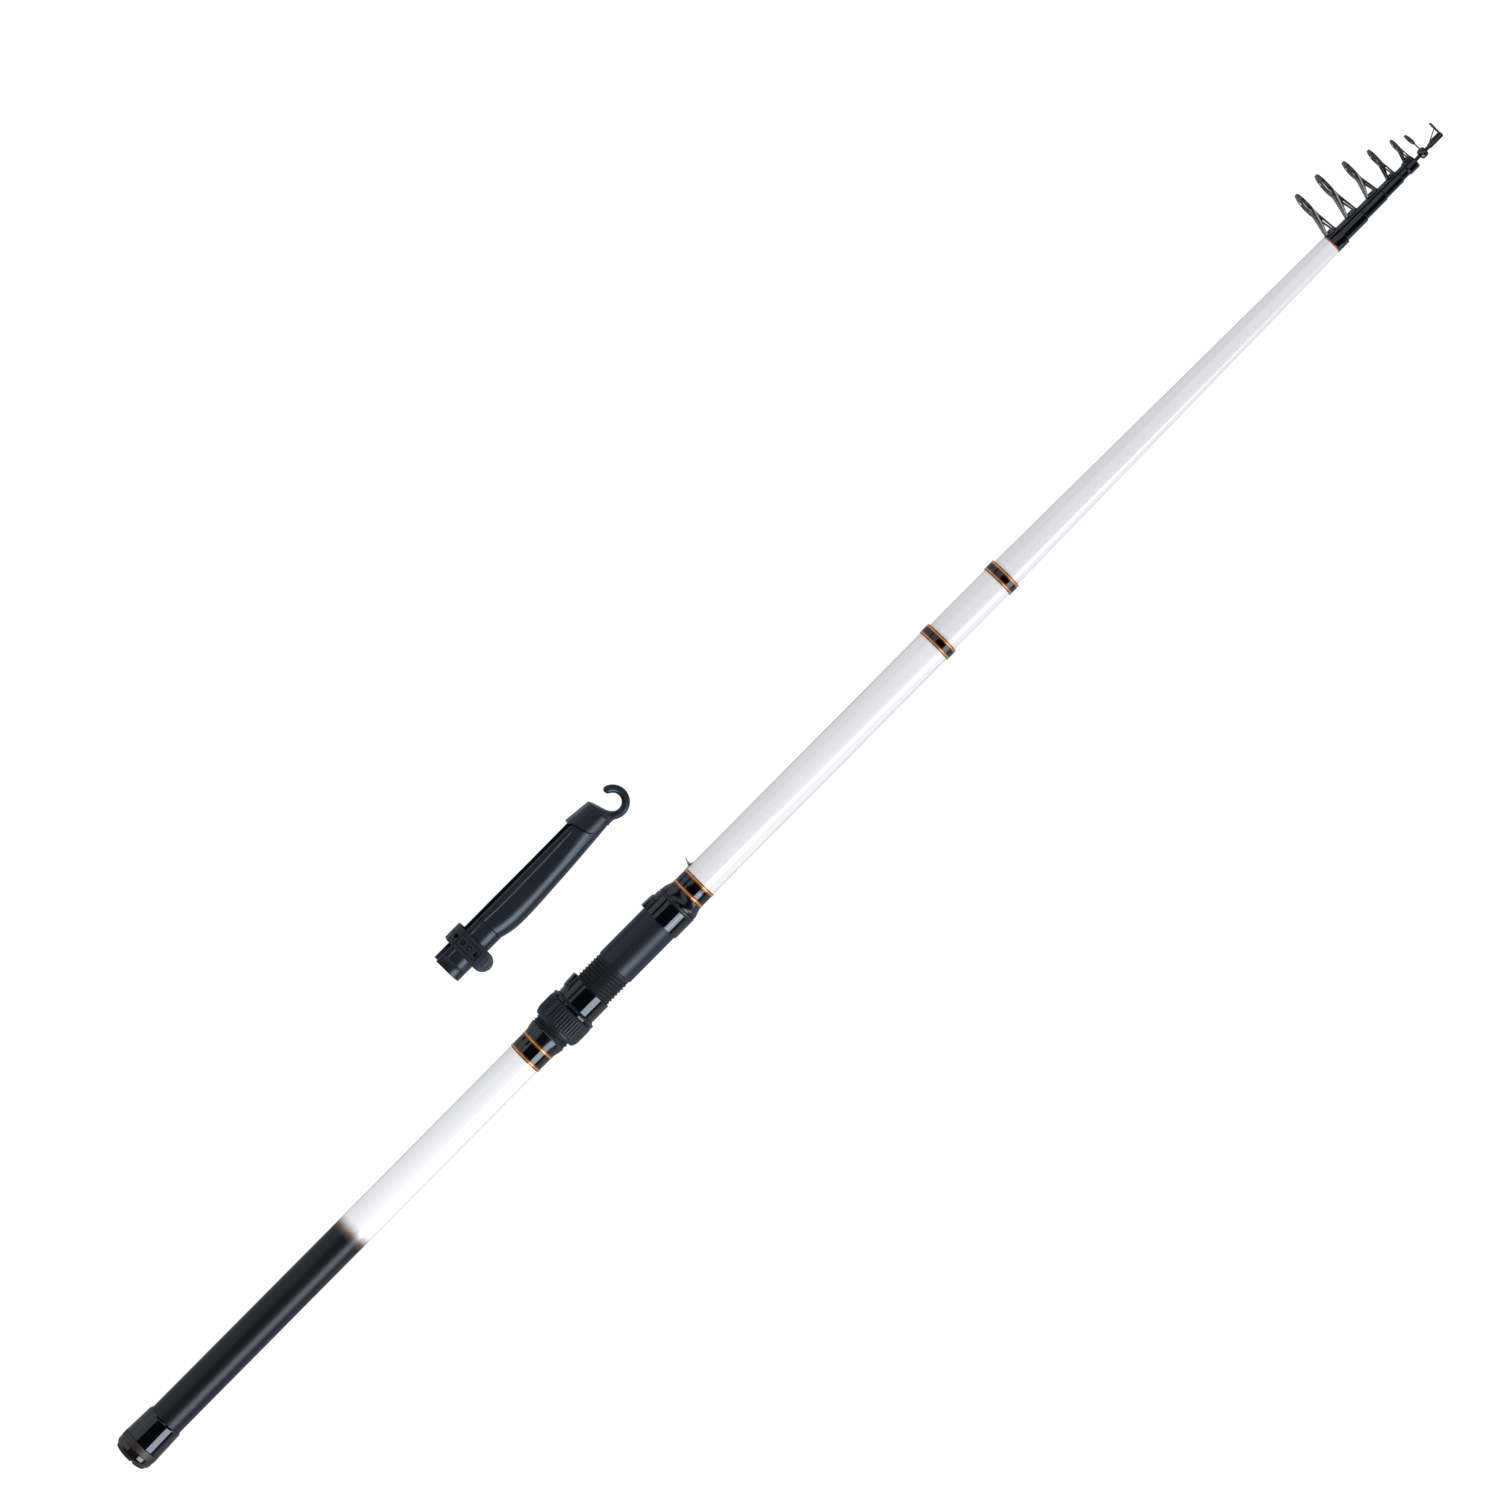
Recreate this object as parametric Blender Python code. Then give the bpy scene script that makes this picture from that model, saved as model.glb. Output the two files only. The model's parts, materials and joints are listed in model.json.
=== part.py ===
# Telescopic surf rod, pushed together for travel, with its tip cover lying beside it.
# Metres, +Z up. The rod lies along X with its butt at -X; the guides and the cover are on its +Y side.
# Stations along the rod are distances from the rim of the butt cap.

import math
from collections import namedtuple

import bmesh
import bpy
from mathutils import Matrix, Vector

# Fits and resolution
FIT_GAP = 0.0003
ROUND_SIDES = 24
SMALL_SIDES = 16
SHARP_ANGLE = math.radians(32)

# Butt section
BUTT_DIAMETER = 0.0289
BUTT_TAPER_LENGTH = 0.215
SECTION_1_DIAMETER = 0.0286
SECTION_1_LENGTH = 0.8708
SECTION_WALL = 0.00055

# What the other sections show in front of the one before, pushed together
SECTION_2_SHOWN = 0.070
SECTION_3_SHOWN = 0.370
SECTION_4_SHOWN = 0.1077
SECTION_3_MOUTH_DIAMETER = 0.0146
SECTION_3_FRONT_DIAMETER = 0.0164
SECTION_3_WALL = 0.0008
SECTION_4_OVERLAP = 0.118
SECTION_4_WALL = 0.0010
SECTION_4_TIP_DIAMETER = 0.0028
SECTION_4_HOLLOW_LENGTH = 1.0
PLUG_LENGTH = 0.012

# Butt cap
CAP_RIM_LENGTH = 0.0062
CAP_KNURL_LENGTH = 0.0062
CAP_DIAMETER = 0.0336
CAP_RIM_CHAMFER = 0.0016
CAP_END_WALL = 0.0030
CAP_WALL = 0.0022
CAP_PLUG_LENGTH = 0.0080
CAP_PLUG_WALL = 0.0020
KNURL_DEPTH = 0.0003
KNURL_RIDGES = 24
PAD_DIAMETER = 0.0290
PAD_THICKNESS = 0.0046
PAD_RECESS = 0.0018
PAD_SLOT_WIDTH = 0.0032
PAD_SLOT_DEPTH = 0.0014
PAD_SLOT_TURN = math.radians(17)
SEAL_WIDTH = 0.0014
SEAL_DEPTH = 0.0010
CUSHION_THICKNESS = 0.0030
CUSHION_STEM_LENGTH = 0.0040

# Ferrule round the butt
FERRULE_LENGTH = 0.0248
FERRULE_REAR_DIAMETER = 0.0332
FERRULE_FRONT_DIAMETER = 0.0314
FERRULE_CHAMFER = 0.0008

# Wraps and gold rings
REAR_WRAP_STATION = 0.4321
TRIM_LENGTH = 0.0026
TRIM_DIAMETER = 0.0300
WRAP_DIAMETER = 0.0296
REAR_WRAP_LENGTH = 0.0102
FRONT_WRAP_LENGTH = 0.0084
MOUTH_BAND_LENGTH = 0.0040
BAND_TRIM_LENGTH = 0.0024
MOUTH_BAND_WALL = 0.0005
TIP_WRAP_LENGTH = 0.0104
TIP_WRAP_DIAMETER = 0.0166
TIP_TRIM_LENGTH = 0.0008

# Reel seat
REAR_CONE_LENGTH = 0.0096
CONE_SMALL_DIAMETER = 0.0296
REAR_CONE_DIAMETER = 0.0334
BARREL_DIAMETER = 0.0331
THREAD_LENGTH = 0.0712
THREAD_PITCH = 0.0031
THREAD_DEPTH = 0.0009
BARREL_PLAIN_LENGTH = 0.0710
FIXED_HOOD_LENGTH = 0.0178
HOOD_DIAMETER = 0.0354
SEAT_RING_LENGTH = 0.0021
FRONT_CONE_LENGTH = 0.0099
FRONT_CONE_DIAMETER = 0.0346
NUT_STATION_ON_BARREL = 0.0060
NUT_DIAMETER = 0.0417
NUT_LENGTH = 0.0201
NUT_FLANGE_LENGTH = 0.0024
NUT_FLANGE_DIAMETER = 0.0398
NUT_RIB_DEPTH = 0.0006
NUT_RIB_GROUPS = 4
NUT_RIBS_IN_GROUP = 11
NUT_TURN = math.radians(-33)
NUT_RING_LENGTH = 0.0036
NUT_RING_CREST = 0.0018
NUT_RING_NOSE = 0.0006
NUT_RING_FALL = 0.0009
MOVING_HOOD_LENGTH = 0.0178
HUMP_HEIGHT = 0.0022
HUMP_WALL = 0.0012
HUMP_LENGTH = 0.0130
HUMP_FALL = 0.0006
HUMP_BEVEL = 0.0009
HUMP_HALF_ANGLE = math.radians(27)
POCKET_HALF_ANGLE = math.radians(21)

# Hook keeper
KEEPER_FOOT_LENGTH = 0.0066
KEEPER_FOOT_THICKNESS = 0.0006
KEEPER_FOOT_HALF_ANGLE = math.radians(11)
KEEPER_EYE_RADIUS = 0.0012
KEEPER_EYE_WIDTH = 0.0022
KEEPER_WIRE_DIAMETER = 0.0008
KEEPER_LOOP_WIDTH = 0.0046
KEEPER_LOOP_HEIGHT = 0.0048
KEEPER_CORNER_WIDTH = 0.0015
KEEPER_CORNER_HEIGHT = 0.0008
KEEPER_LEAN = math.radians(18)

# Guides. Heights are from the rod's axis to the ring's centre, stations from section 3's mouth when drawn.
Guide = namedtuple(
    "Guide",
    "ring_diameter ring_height ring_depth frame_wall insert_wall"
    " foot_length sleeve_wall sleeve_length station",
)
GUIDE_1 = Guide(0.0236, 0.0354, 0.0024, 0.0011, 0.0014, 0.0098, 0.0, 0.0, 0.0)
GUIDE_2 = Guide(0.0236, 0.0351, 0.0024, 0.0011, 0.0014, 0.0112, 0.0016, 0.0220, 0.300)
GUIDE_3 = Guide(0.0184, 0.0301, 0.0022, 0.0010, 0.0013, 0.0114, 0.0017, 0.0220, 0.560)
GUIDE_4 = Guide(0.0160, 0.0239, 0.0020, 0.0009, 0.0012, 0.0084, 0.0019, 0.0183, 0.780)
GUIDE_5 = Guide(0.0122, 0.0188, 0.0018, 0.0008, 0.0010, 0.0070, 0.0019, 0.0170, 0.975)
GUIDE_6 = Guide(0.0106, 0.0144, 0.0014, 0.0006, 0.0009, 0.0, 0.0020, 0.0062, 1.145)

# Shares of a guide ring's own walls and depth
FRAME_BEVEL_SHARE = 1 / 3
INSERT_LIP_SHARE = 1 / 4
INSERT_EASE_SHARE = 1 / 3
INSERT_FLAT_SHARE = 1 / 2

# Legs and wires of the guides
GUIDE_LEAN = math.radians(4)
GUIDE_6_LEAN = math.radians(-5)
GUIDE_6_SPACE = 0.0052
GUIDE_6_WIRE = 0.0011
FOOT_THICKNESS = 0.0012
FOOT_HALF_ANGLE = math.radians(46)
LEG_THICKNESS = 0.0012
LEG_TOP_WIDTH = 0.0025
LEG_FOOT_WIDTH = 0.0019
LEG_FORK_SHARE = 0.36
LEG_FOOT_ANGLE = math.radians(31)
RING_FORWARD = 0.0012
BEAD_ROUNDING = 0.0011
COLLAR_LENGTH = 0.0093
COLLAR_STEP = 0.0009

# Tip top
TIP_TUBE_LENGTH = 0.0142
TIP_SOCKET_DEPTH = 0.0120
TIP_TUBE_WALL = 0.0004
TIP_RING_DIAMETER = 0.0056
TIP_RING_HEIGHT = 0.0098
TIP_RING_DEPTH = 0.0012
TIP_FRAME_WALL = 0.0005
TIP_INSERT_WALL = 0.0005
TIP_WIRE = 0.0009
TIP_CLIP_HALF_ANGLE = math.radians(60)
TIP_LEG_ANGLE = math.radians(52)
TIP_BRACE_REACH = 0.0098

# Tip cover. Its own X runs along it from its rear end, +Y out of its mouth, +Z through its near wall.
COVER_STATION = 0.4375
COVER_OFFSET = 0.0909
COVER_ROLL = math.radians(11.5)
COVER_LEAN = math.radians(12)
COVER_WALL = 0.0018
COVER_RADIUS = 0.0120
COVER_MOUTH_DEPTH = 0.0128
COVER_COLLAR_LENGTH = 0.0476
SHELL_LENGTH = 0.0994
BELLY_DISTANCE = 0.0189
BELLY_DEPTH = 0.0032
BELLY_WIDTH = 0.0008
WAIST_DISTANCE = 0.0604
NECK_TUCK = 0.0026
SEAM_SWEEP = 0.0215
SEAM_POWER = 4.5
SEAM_GAP = 0.0008

# Hood of the cover. Distances are from its seam at the mouth.
HoodSection = namedtuple("HoodSection", "distance half_width back reach")
HOOD_PROUD = 0.0005
HOOD_REACH = 0.0162
HOOD_SHOULDER = HoodSection(0.0238, 0.0113, 0.0095, 0.0138)
HOOD_NOSE = HoodSection(0.0282, 0.0078, 0.0093, 0.0010)
HOOD_FRONT = HoodSection(0.0320, 0.0042, 0.0091, -0.0036)
HOOD_CORNER = 0.0050
HOOK_CENTRE_DISTANCE = 0.0364
HOOK_CENTRE_REACH = 0.0009
HOOK_INNER_RADIUS = 0.0072
HOOK_THICKNESS = 0.0066
HOOK_DEPTH = 0.0060
HOOK_START = math.radians(-148)
HOOK_END = math.radians(66)

# Rubber strap of the cover. Its distances run along the near wall from the end of the round back.
STRAP_STATION = 0.0252
STRAP_WIDTH = 0.0158
STRAP_THICKNESS = 0.0020
STRAP_HINGE_DISTANCE = 0.0093
STRAP_CORNER = 0.0060
STRAP_ROOT_LENGTH = 0.0085
STRAP_HOLE_DIAMETER = 0.0042
STRAP_HOLE_PITCH = 0.0067
STRAP_FIRST_HOLE = 0.0032
STRAP_BAND_HOLE = 0.0039
TAB_LENGTH = 0.0325
TAB_WIDTH = 0.0172
TAB_FLAT_LENGTH = 0.0180
TAB_DROP = 0.0040
STUD_DIAMETER = 0.0032
STUD_HEIGHT = 0.0030

# Stations that follow from the sizes above
CAP_LENGTH = CAP_RIM_LENGTH + CAP_KNURL_LENGTH
PLUG_END = CAP_LENGTH + CAP_PLUG_LENGTH
SECTION_1_START = PLUG_END + FIT_GAP
SECTIONS_START = SECTION_1_START + CUSHION_THICKNESS + FIT_GAP
MOUTH_1 = SECTION_1_START + SECTION_1_LENGTH
MOUTH_2 = MOUTH_1 + SECTION_2_SHOWN
MOUTH_3 = MOUTH_2 + SECTION_3_SHOWN
SECTION_4_END = MOUTH_3 + SECTION_4_SHOWN
TIP_TUBE_START = SECTION_4_END + FIT_GAP - TIP_SOCKET_DEPTH

# Radii that follow from the sizes above
SECTION_1_RADIUS = SECTION_1_DIAMETER / 2
BUTT_RADIUS = BUTT_DIAMETER / 2
SECTION_1_BORE = SECTION_1_RADIUS - SECTION_WALL
SECTION_2_RADIUS = SECTION_1_BORE - FIT_GAP
SECTION_2_BORE = SECTION_2_RADIUS - SECTION_WALL
SECTION_3_RADIUS = SECTION_2_BORE - FIT_GAP
SECTION_3_BORE = SECTION_3_RADIUS - SECTION_3_WALL
SECTION_3_MOUTH_BORE = SECTION_3_MOUTH_DIAMETER / 2 - SECTION_3_WALL
SECTION_4_MOUTH_RADIUS = SECTION_3_MOUTH_BORE - FIT_GAP
SECTION_4_DRAWN_REACH = SECTION_4_END - SECTIONS_START - SECTION_4_OVERLAP
BUTT_SLEEVE_BORE = BUTT_RADIUS + FIT_GAP
SLEEVE_BORE = SECTION_1_RADIUS + FIT_GAP
HOOD_BORE = BARREL_DIAMETER / 2 + FIT_GAP
HUMP_RADIUS = HOOD_DIAMETER / 2 + HUMP_HEIGHT

# Places on the cover that follow from the sizes above
SHELL_START = COVER_COLLAR_LENGTH + FIT_GAP
SEAM_STATION = COVER_COLLAR_LENGTH + SHELL_LENGTH
RIM_DISTANCE = (COVER_MOUTH_DEPTH - COVER_RADIUS * math.sin(COVER_LEAN)) / math.cos(COVER_LEAN)
STRAP_LEVEL = FIT_GAP + STRAP_THICKNESS / 2

# Colour, roughness and metallic value of each finish
FINISHES = {
    "gloss_black": ((0.006, 0.007, 0.009, 1), 0.12, 0.0),
    "satin_black": ((0.010, 0.014, 0.022, 1), 0.34, 0.0),
    "matte_slate": ((0.024, 0.031, 0.040, 1), 0.52, 0.0),
    "gloss_white": ((0.80, 0.80, 0.81, 1), 0.14, 0.0),
    "gold": ((0.60, 0.36, 0.08, 1), 0.28, 1.0),
    "copper": ((0.50, 0.16, 0.06, 1), 0.30, 1.0),
    "warm_gloss": ((0.020, 0.017, 0.017, 1), 0.16, 0.0),
    "gunmetal": ((0.030, 0.032, 0.036, 1), 0.24, 1.0),
    "ceramic": ((0.060, 0.062, 0.068, 1), 0.18, 0.0),
    "rubber": ((0.016, 0.020, 0.026, 1), 0.62, 0.0),
    "steel": ((0.42, 0.43, 0.45, 1), 0.22, 1.0),
}


# Scene helpers

def clear_scene():
    for item in list(bpy.data.objects):
        bpy.data.objects.remove(item, do_unlink=True)


def add_body(name, location, parent=None):
    body = bpy.data.objects.new(name, None)
    body.empty_display_size = 0.02
    body.location = location
    body.parent = parent
    bpy.context.scene.collection.objects.link(body)
    return body


def add_material(name, finish):
    colour, roughness, metallic = FINISHES[finish]
    material = bpy.data.materials.new(name)
    material.use_nodes = True
    shader = material.node_tree.nodes["Principled BSDF"]
    shader.inputs["Base Color"].default_value = colour
    shader.inputs["Roughness"].default_value = roughness
    shader.inputs["Metallic"].default_value = metallic
    material.diffuse_color = colour
    return material


def add_piece(name, bm, parent, finish, location=(0, 0, 0)):
    bmesh.ops.recalc_face_normals(bm, faces=bm.faces)
    mesh = bpy.data.meshes.new(name)
    bm.to_mesh(mesh)
    bm.free()
    mesh.shade_smooth()
    mesh.set_sharp_from_angle(angle=SHARP_ANGLE)
    piece = bpy.data.objects.new(name, mesh)
    piece.location = location
    piece.parent = parent
    bpy.context.scene.collection.objects.link(piece)
    mesh.materials.append(add_material(name, finish))
    return piece


def join_solids(piece, other, operation):
    name = piece.name
    modifier = piece.modifiers.new(operation.title(), "BOOLEAN")
    modifier.operation = operation
    modifier.solver = "EXACT"
    modifier.object = other
    bpy.context.view_layer.update()
    evaluated = piece.evaluated_get(bpy.context.evaluated_depsgraph_get())
    mesh = bpy.data.meshes.new_from_object(evaluated)
    material = piece.data.materials[0]
    piece.modifiers.clear()
    piece.data = mesh
    mesh.name = name
    mesh.materials.clear()
    mesh.materials.append(material)
    mesh.set_sharp_from_angle(angle=SHARP_ANGLE)
    bpy.data.objects.remove(other, do_unlink=True)


# Shape helpers

def spun(profile, sides):
    # A profile of (x, r) points turned once round X. One that ends on the axis is left open there.
    bm = bmesh.new()
    verts = [bm.verts.new((x, r, 0)) for x, r in profile]
    edges = [bm.edges.new(pair) for pair in zip(verts, verts[1:])]
    if profile[0][1] or profile[-1][1]:
        edges.append(bm.edges.new((verts[-1], verts[0])))
    bmesh.ops.spin(bm, geom=verts + edges, cent=(0, 0, 0), axis=(1, 0, 0), angle=math.tau, steps=sides)
    bmesh.ops.remove_doubles(bm, verts=bm.verts, dist=1e-6)
    return bm


def drum(start, end, radius, sides=ROUND_SIDES):
    return spun([(start, 0), (start, radius), (end, radius), (end, 0)], sides)


def tube_profile(start, end, outer, inner):
    return [(start, outer), (end, outer), (end, inner), (start, inner)]


def turned(name, profile, body, finish, sides=ROUND_SIDES):
    # A turned piece on the rod's axis. Its origin is at the profile's rear end.
    rear = min(x for x, r in profile)
    bm = spun([(x - rear, r) for x, r in profile], sides)
    return add_piece(name, bm, body, finish, (rear - body["station"], 0, 0))


def arc_sector(profile, half_angle, steps):
    # A profile of (x, r) points turned both ways from +Y.
    rings = []
    for i in range(steps + 1):
        angle = half_angle * (2 * i / steps - 1)
        rings.append([(x, r * math.cos(angle), r * math.sin(angle)) for x, r in profile])
    return skin(rings)


def prism(outline, half_depth):
    # An outline of (x, y) points, thickened both ways along Z.
    bm = bmesh.new()
    low = [bm.verts.new((x, y, -half_depth)) for x, y in outline]
    high = [bm.verts.new((x, y, half_depth)) for x, y in outline]
    bm.faces.new(list(reversed(low)))
    bm.faces.new(high)
    for i in range(len(outline)):
        j = (i + 1) % len(outline)
        bm.faces.new((low[i], low[j], high[j], high[i]))
    return bm


def rod_between(start, end, thickness, sides=6):
    # A straight wire from one point to another.
    start = Vector(start)
    end = Vector(end)
    along = end - start
    bm = bmesh.new()
    bmesh.ops.create_cone(
        bm, cap_ends=True, segments=sides, radius1=thickness / 2, radius2=thickness / 2, depth=along.length
    )
    turn = along.to_track_quat("Z", "Y").to_matrix().to_4x4()
    bmesh.ops.transform(bm, matrix=Matrix.Translation((start + end) / 2) @ turn, verts=bm.verts)
    return bm


def skin(rings, closed_path=False):
    # Closed rings of points joined in order, with flat ends unless the path closes on itself.
    bm = bmesh.new()
    loops = [[bm.verts.new(point) for point in ring] for ring in rings]
    pairs = list(zip(loops, loops[1:]))
    if closed_path:
        pairs.append((loops[-1], loops[0]))
    for first, second in pairs:
        for i in range(len(first)):
            j = (i + 1) % len(first)
            bm.faces.new((first[i], first[j], second[j], second[i]))
    if not closed_path:
        bm.faces.new(list(reversed(loops[0])))
        bm.faces.new(loops[-1])
    return bm


def shaped(name, bm, others, body, finish, location=(0, 0, 0)):
    # A piece united with further solids.
    piece = add_piece(name, bm, body, finish, location)
    for other in others:
        join_solids(piece, add_piece("tool", other, body, finish, location), "UNION")
    return piece


def cut(piece, bm):
    join_solids(piece, add_piece("tool", bm, piece.parent, "rubber", piece.location), "DIFFERENCE")


def section_4_radius(drawn_distance):
    # Section 4's radius at a distance in front of section 3's mouth, fully drawn.
    share = drawn_distance / SECTION_4_DRAWN_REACH
    return SECTION_4_MOUTH_RADIUS + (SECTION_4_TIP_DIAMETER / 2 - SECTION_4_MOUTH_RADIUS) * share


def section_3_outer(station):
    wrap_start = MOUTH_3 - TIP_WRAP_LENGTH - TIP_TRIM_LENGTH - 2 * FIT_GAP
    share = (station - MOUTH_2) / (wrap_start - MOUTH_2)
    return SECTION_3_RADIUS + (SECTION_3_FRONT_DIAMETER / 2 - SECTION_3_RADIUS) * share


# Rod sections

def make_section_1(body):
    bore = SECTION_1_BORE
    turned("section_1_tube", [
        (SECTION_1_START, BUTT_RADIUS),
        (CAP_LENGTH + FERRULE_LENGTH + FIT_GAP, BUTT_RADIUS),
        (BUTT_TAPER_LENGTH, SECTION_1_RADIUS),
        (MOUTH_1, SECTION_1_RADIUS),
        (MOUTH_1, bore),
        (SECTION_1_START, bore),
    ], body, "gloss_white")
    rear = CAP_LENGTH + FIT_GAP
    front = rear + FERRULE_LENGTH
    turned("butt_ferrule", [
        (rear, FERRULE_REAR_DIAMETER / 2),
        (front - FERRULE_CHAMFER, FERRULE_FRONT_DIAMETER / 2),
        (front, FERRULE_FRONT_DIAMETER / 2 - FERRULE_CHAMFER),
        (front, BUTT_SLEEVE_BORE),
        (rear, BUTT_SLEEVE_BORE),
    ], body, "gloss_black")
    make_mouth_band(1, MOUTH_1, SECTION_1_RADIUS, body)


def make_mouth_band(number, mouth, radius, body):
    bore = radius + FIT_GAP
    outer = bore + MOUTH_BAND_WALL
    front = mouth
    for letter in ("b", "a"):
        rear = front - BAND_TRIM_LENGTH
        turned(f"band_{number}_trim_{letter}", tube_profile(rear, front, outer, bore), body, "gold")
        front = rear - FIT_GAP
        if letter == "b":
            rear = front - MOUTH_BAND_LENGTH
            turned(f"mouth_band_{number}", tube_profile(rear, front, outer, bore), body, "gloss_black")
            front = rear - FIT_GAP


def make_section_2(body):
    outline = tube_profile(SECTIONS_START, MOUTH_2, SECTION_2_RADIUS, SECTION_2_BORE)
    turned("section_2_tube", outline, body, "gloss_white")
    make_mouth_band(2, MOUTH_2, SECTION_2_RADIUS, body)


def make_section_3(body):
    trim_start = MOUTH_3 - TIP_WRAP_LENGTH - TIP_TRIM_LENGTH - FIT_GAP
    step = trim_start - FIT_GAP
    seat_radius = SECTION_3_MOUTH_DIAMETER / 2
    flare = MOUTH_3 - SECTION_4_OVERLAP
    turned("section_3_tube", [
        (SECTIONS_START, SECTION_3_RADIUS),
        (MOUTH_2, SECTION_3_RADIUS),
        (step, SECTION_3_FRONT_DIAMETER / 2),
        (step, seat_radius),
        (MOUTH_3, seat_radius),
        (MOUTH_3, SECTION_3_MOUTH_BORE),
        (flare, section_3_outer(flare) - SECTION_3_WALL),
        (MOUTH_2, SECTION_3_BORE),
        (SECTIONS_START, SECTION_3_BORE),
    ], body, "gloss_white")
    bore = seat_radius + FIT_GAP
    outer = TIP_WRAP_DIAMETER / 2
    trim = tube_profile(trim_start, trim_start + TIP_TRIM_LENGTH, outer, bore)
    turned("tip_wrap_trim", trim, body, "copper")
    wrap = tube_profile(MOUTH_3 - TIP_WRAP_LENGTH, MOUTH_3, outer, bore)
    turned("tip_wrap", wrap, body, "gloss_black")
    foot_centre = MOUTH_3 - TIP_WRAP_LENGTH / 2
    make_guide_frame(1, GUIDE_1, foot_centre, outer, body)


def make_section_4(body):
    flare_station = MOUTH_3 - SECTION_4_OVERLAP
    base_radius = section_3_outer(flare_station) - SECTION_3_WALL - FIT_GAP
    neck = SECTIONS_START + SECTION_4_OVERLAP
    neck_bore = SECTION_4_MOUTH_RADIUS - SECTION_4_WALL
    base_bore = base_radius - SECTION_4_WALL
    turned("section_4_blank", [
        (SECTIONS_START + SECTION_4_HOLLOW_LENGTH, 0),
        (neck, neck_bore),
        (SECTIONS_START, base_bore),
        (SECTIONS_START, base_radius),
        (neck, SECTION_4_MOUTH_RADIUS),
        (SECTION_4_END, SECTION_4_TIP_DIAMETER / 2),
        (SECTION_4_END, 0),
    ], body, "gloss_black", SMALL_SIDES)
    plug_front = SECTIONS_START + PLUG_LENGTH
    slope = (base_bore - neck_bore) / SECTION_4_OVERLAP
    turned("section_4_plug", [
        (SECTIONS_START, 0),
        (SECTIONS_START, base_bore - FIT_GAP),
        (plug_front, base_bore - FIT_GAP - slope * PLUG_LENGTH),
        (plug_front, 0),
    ], body, "rubber", SMALL_SIDES)


# Butt cap

def make_cap(slide, turning):
    bore = BUTT_SLEEVE_BORE - FIT_GAP
    seal_inner = bore - SEAL_DEPTH
    seal_front = CAP_LENGTH + FIT_GAP + SEAL_WIDTH
    seal_rear = CAP_LENGTH + FIT_GAP
    turned("cap_seal", tube_profile(seal_rear, seal_front, bore, seal_inner), slide, "rubber")
    rim = CAP_DIAMETER / 2
    inside = rim - KNURL_DEPTH - CAP_WALL
    plug_bore = bore - CAP_PLUG_WALL
    recess = PAD_DIAMETER / 2 + FIT_GAP
    groove = seal_inner - FIT_GAP
    groove_end = seal_front + FIT_GAP
    cap = turned("butt_cap", [
        (0, rim - CAP_RIM_CHAMFER),
        (CAP_RIM_CHAMFER, rim - KNURL_DEPTH),
        (CAP_RIM_LENGTH, rim - KNURL_DEPTH),
        (CAP_LENGTH, rim - KNURL_DEPTH),
        (CAP_LENGTH, groove),
        (groove_end, groove),
        (groove_end, bore),
        (PLUG_END, bore),
        (PLUG_END, plug_bore),
        (CAP_LENGTH, plug_bore),
        (PAD_RECESS + CAP_END_WALL, min(inside, plug_bore)),
        (PAD_RECESS + CAP_END_WALL, 0),
        (PAD_RECESS, 0),
        (PAD_RECESS, recess),
        (0, recess),
    ], turning, "warm_gloss")
    add_knurl(cap, rim)
    pad_start = PAD_RECESS - FIT_GAP - PAD_THICKNESS
    radius = PAD_DIAMETER / 2
    edge = PAD_SLOT_DEPTH
    pad = turned("end_pad", [
        (pad_start, 0),
        (pad_start, radius - edge),
        (pad_start + edge, radius),
        (pad_start + PAD_THICKNESS, radius),
        (pad_start + PAD_THICKNESS, 0),
    ], turning, "rubber")
    cut_pad_slot(pad)
    disc = SECTION_1_BORE - FIT_GAP
    turned("cap_cushion", [
        (SECTION_1_START - CUSHION_STEM_LENGTH, 0),
        (SECTION_1_START - CUSHION_STEM_LENGTH, plug_bore - FIT_GAP),
        (SECTION_1_START, plug_bore - FIT_GAP),
        (SECTION_1_START, disc),
        (SECTION_1_START + CUSHION_THICKNESS, disc),
        (SECTION_1_START + CUSHION_THICKNESS, 0),
    ], turning, "rubber")


def add_knurl(cap, rim):
    # A band of ridges with a rounded top, round the front half of the cap.
    outline = []
    for i in range(2 * KNURL_RIDGES):
        radius = rim if i % 2 == 0 else rim - KNURL_DEPTH / 2
        angle = math.pi * i / KNURL_RIDGES
        outline.append((radius * math.cos(angle), radius * math.sin(angle)))
    bm = prism(outline, CAP_KNURL_LENGTH / 2)
    turn = Matrix.Rotation(math.pi / 2, 4, "Y")
    place = Matrix.Translation((CAP_RIM_LENGTH + CAP_KNURL_LENGTH / 2, 0, 0))
    bmesh.ops.transform(bm, matrix=place @ turn, verts=bm.verts)
    band = add_piece("tool", bm, cap.parent, "warm_gloss", cap.location)
    cut(band, drum(CAP_RIM_LENGTH - FIT_GAP, CAP_LENGTH + FIT_GAP, rim - CAP_WALL / 2))
    join_solids(cap, band, "UNION")


def cut_pad_slot(pad):
    bm = bmesh.new()
    bmesh.ops.create_cube(bm, size=1)
    size = Matrix.Diagonal((2 * PAD_SLOT_DEPTH, PAD_SLOT_WIDTH, 2 * PAD_DIAMETER, 1))
    turn = Matrix.Rotation(PAD_SLOT_TURN, 4, "X")
    bmesh.ops.transform(bm, matrix=turn @ size, verts=bm.verts)
    cut(pad, bm)


# Reel seat

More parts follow.
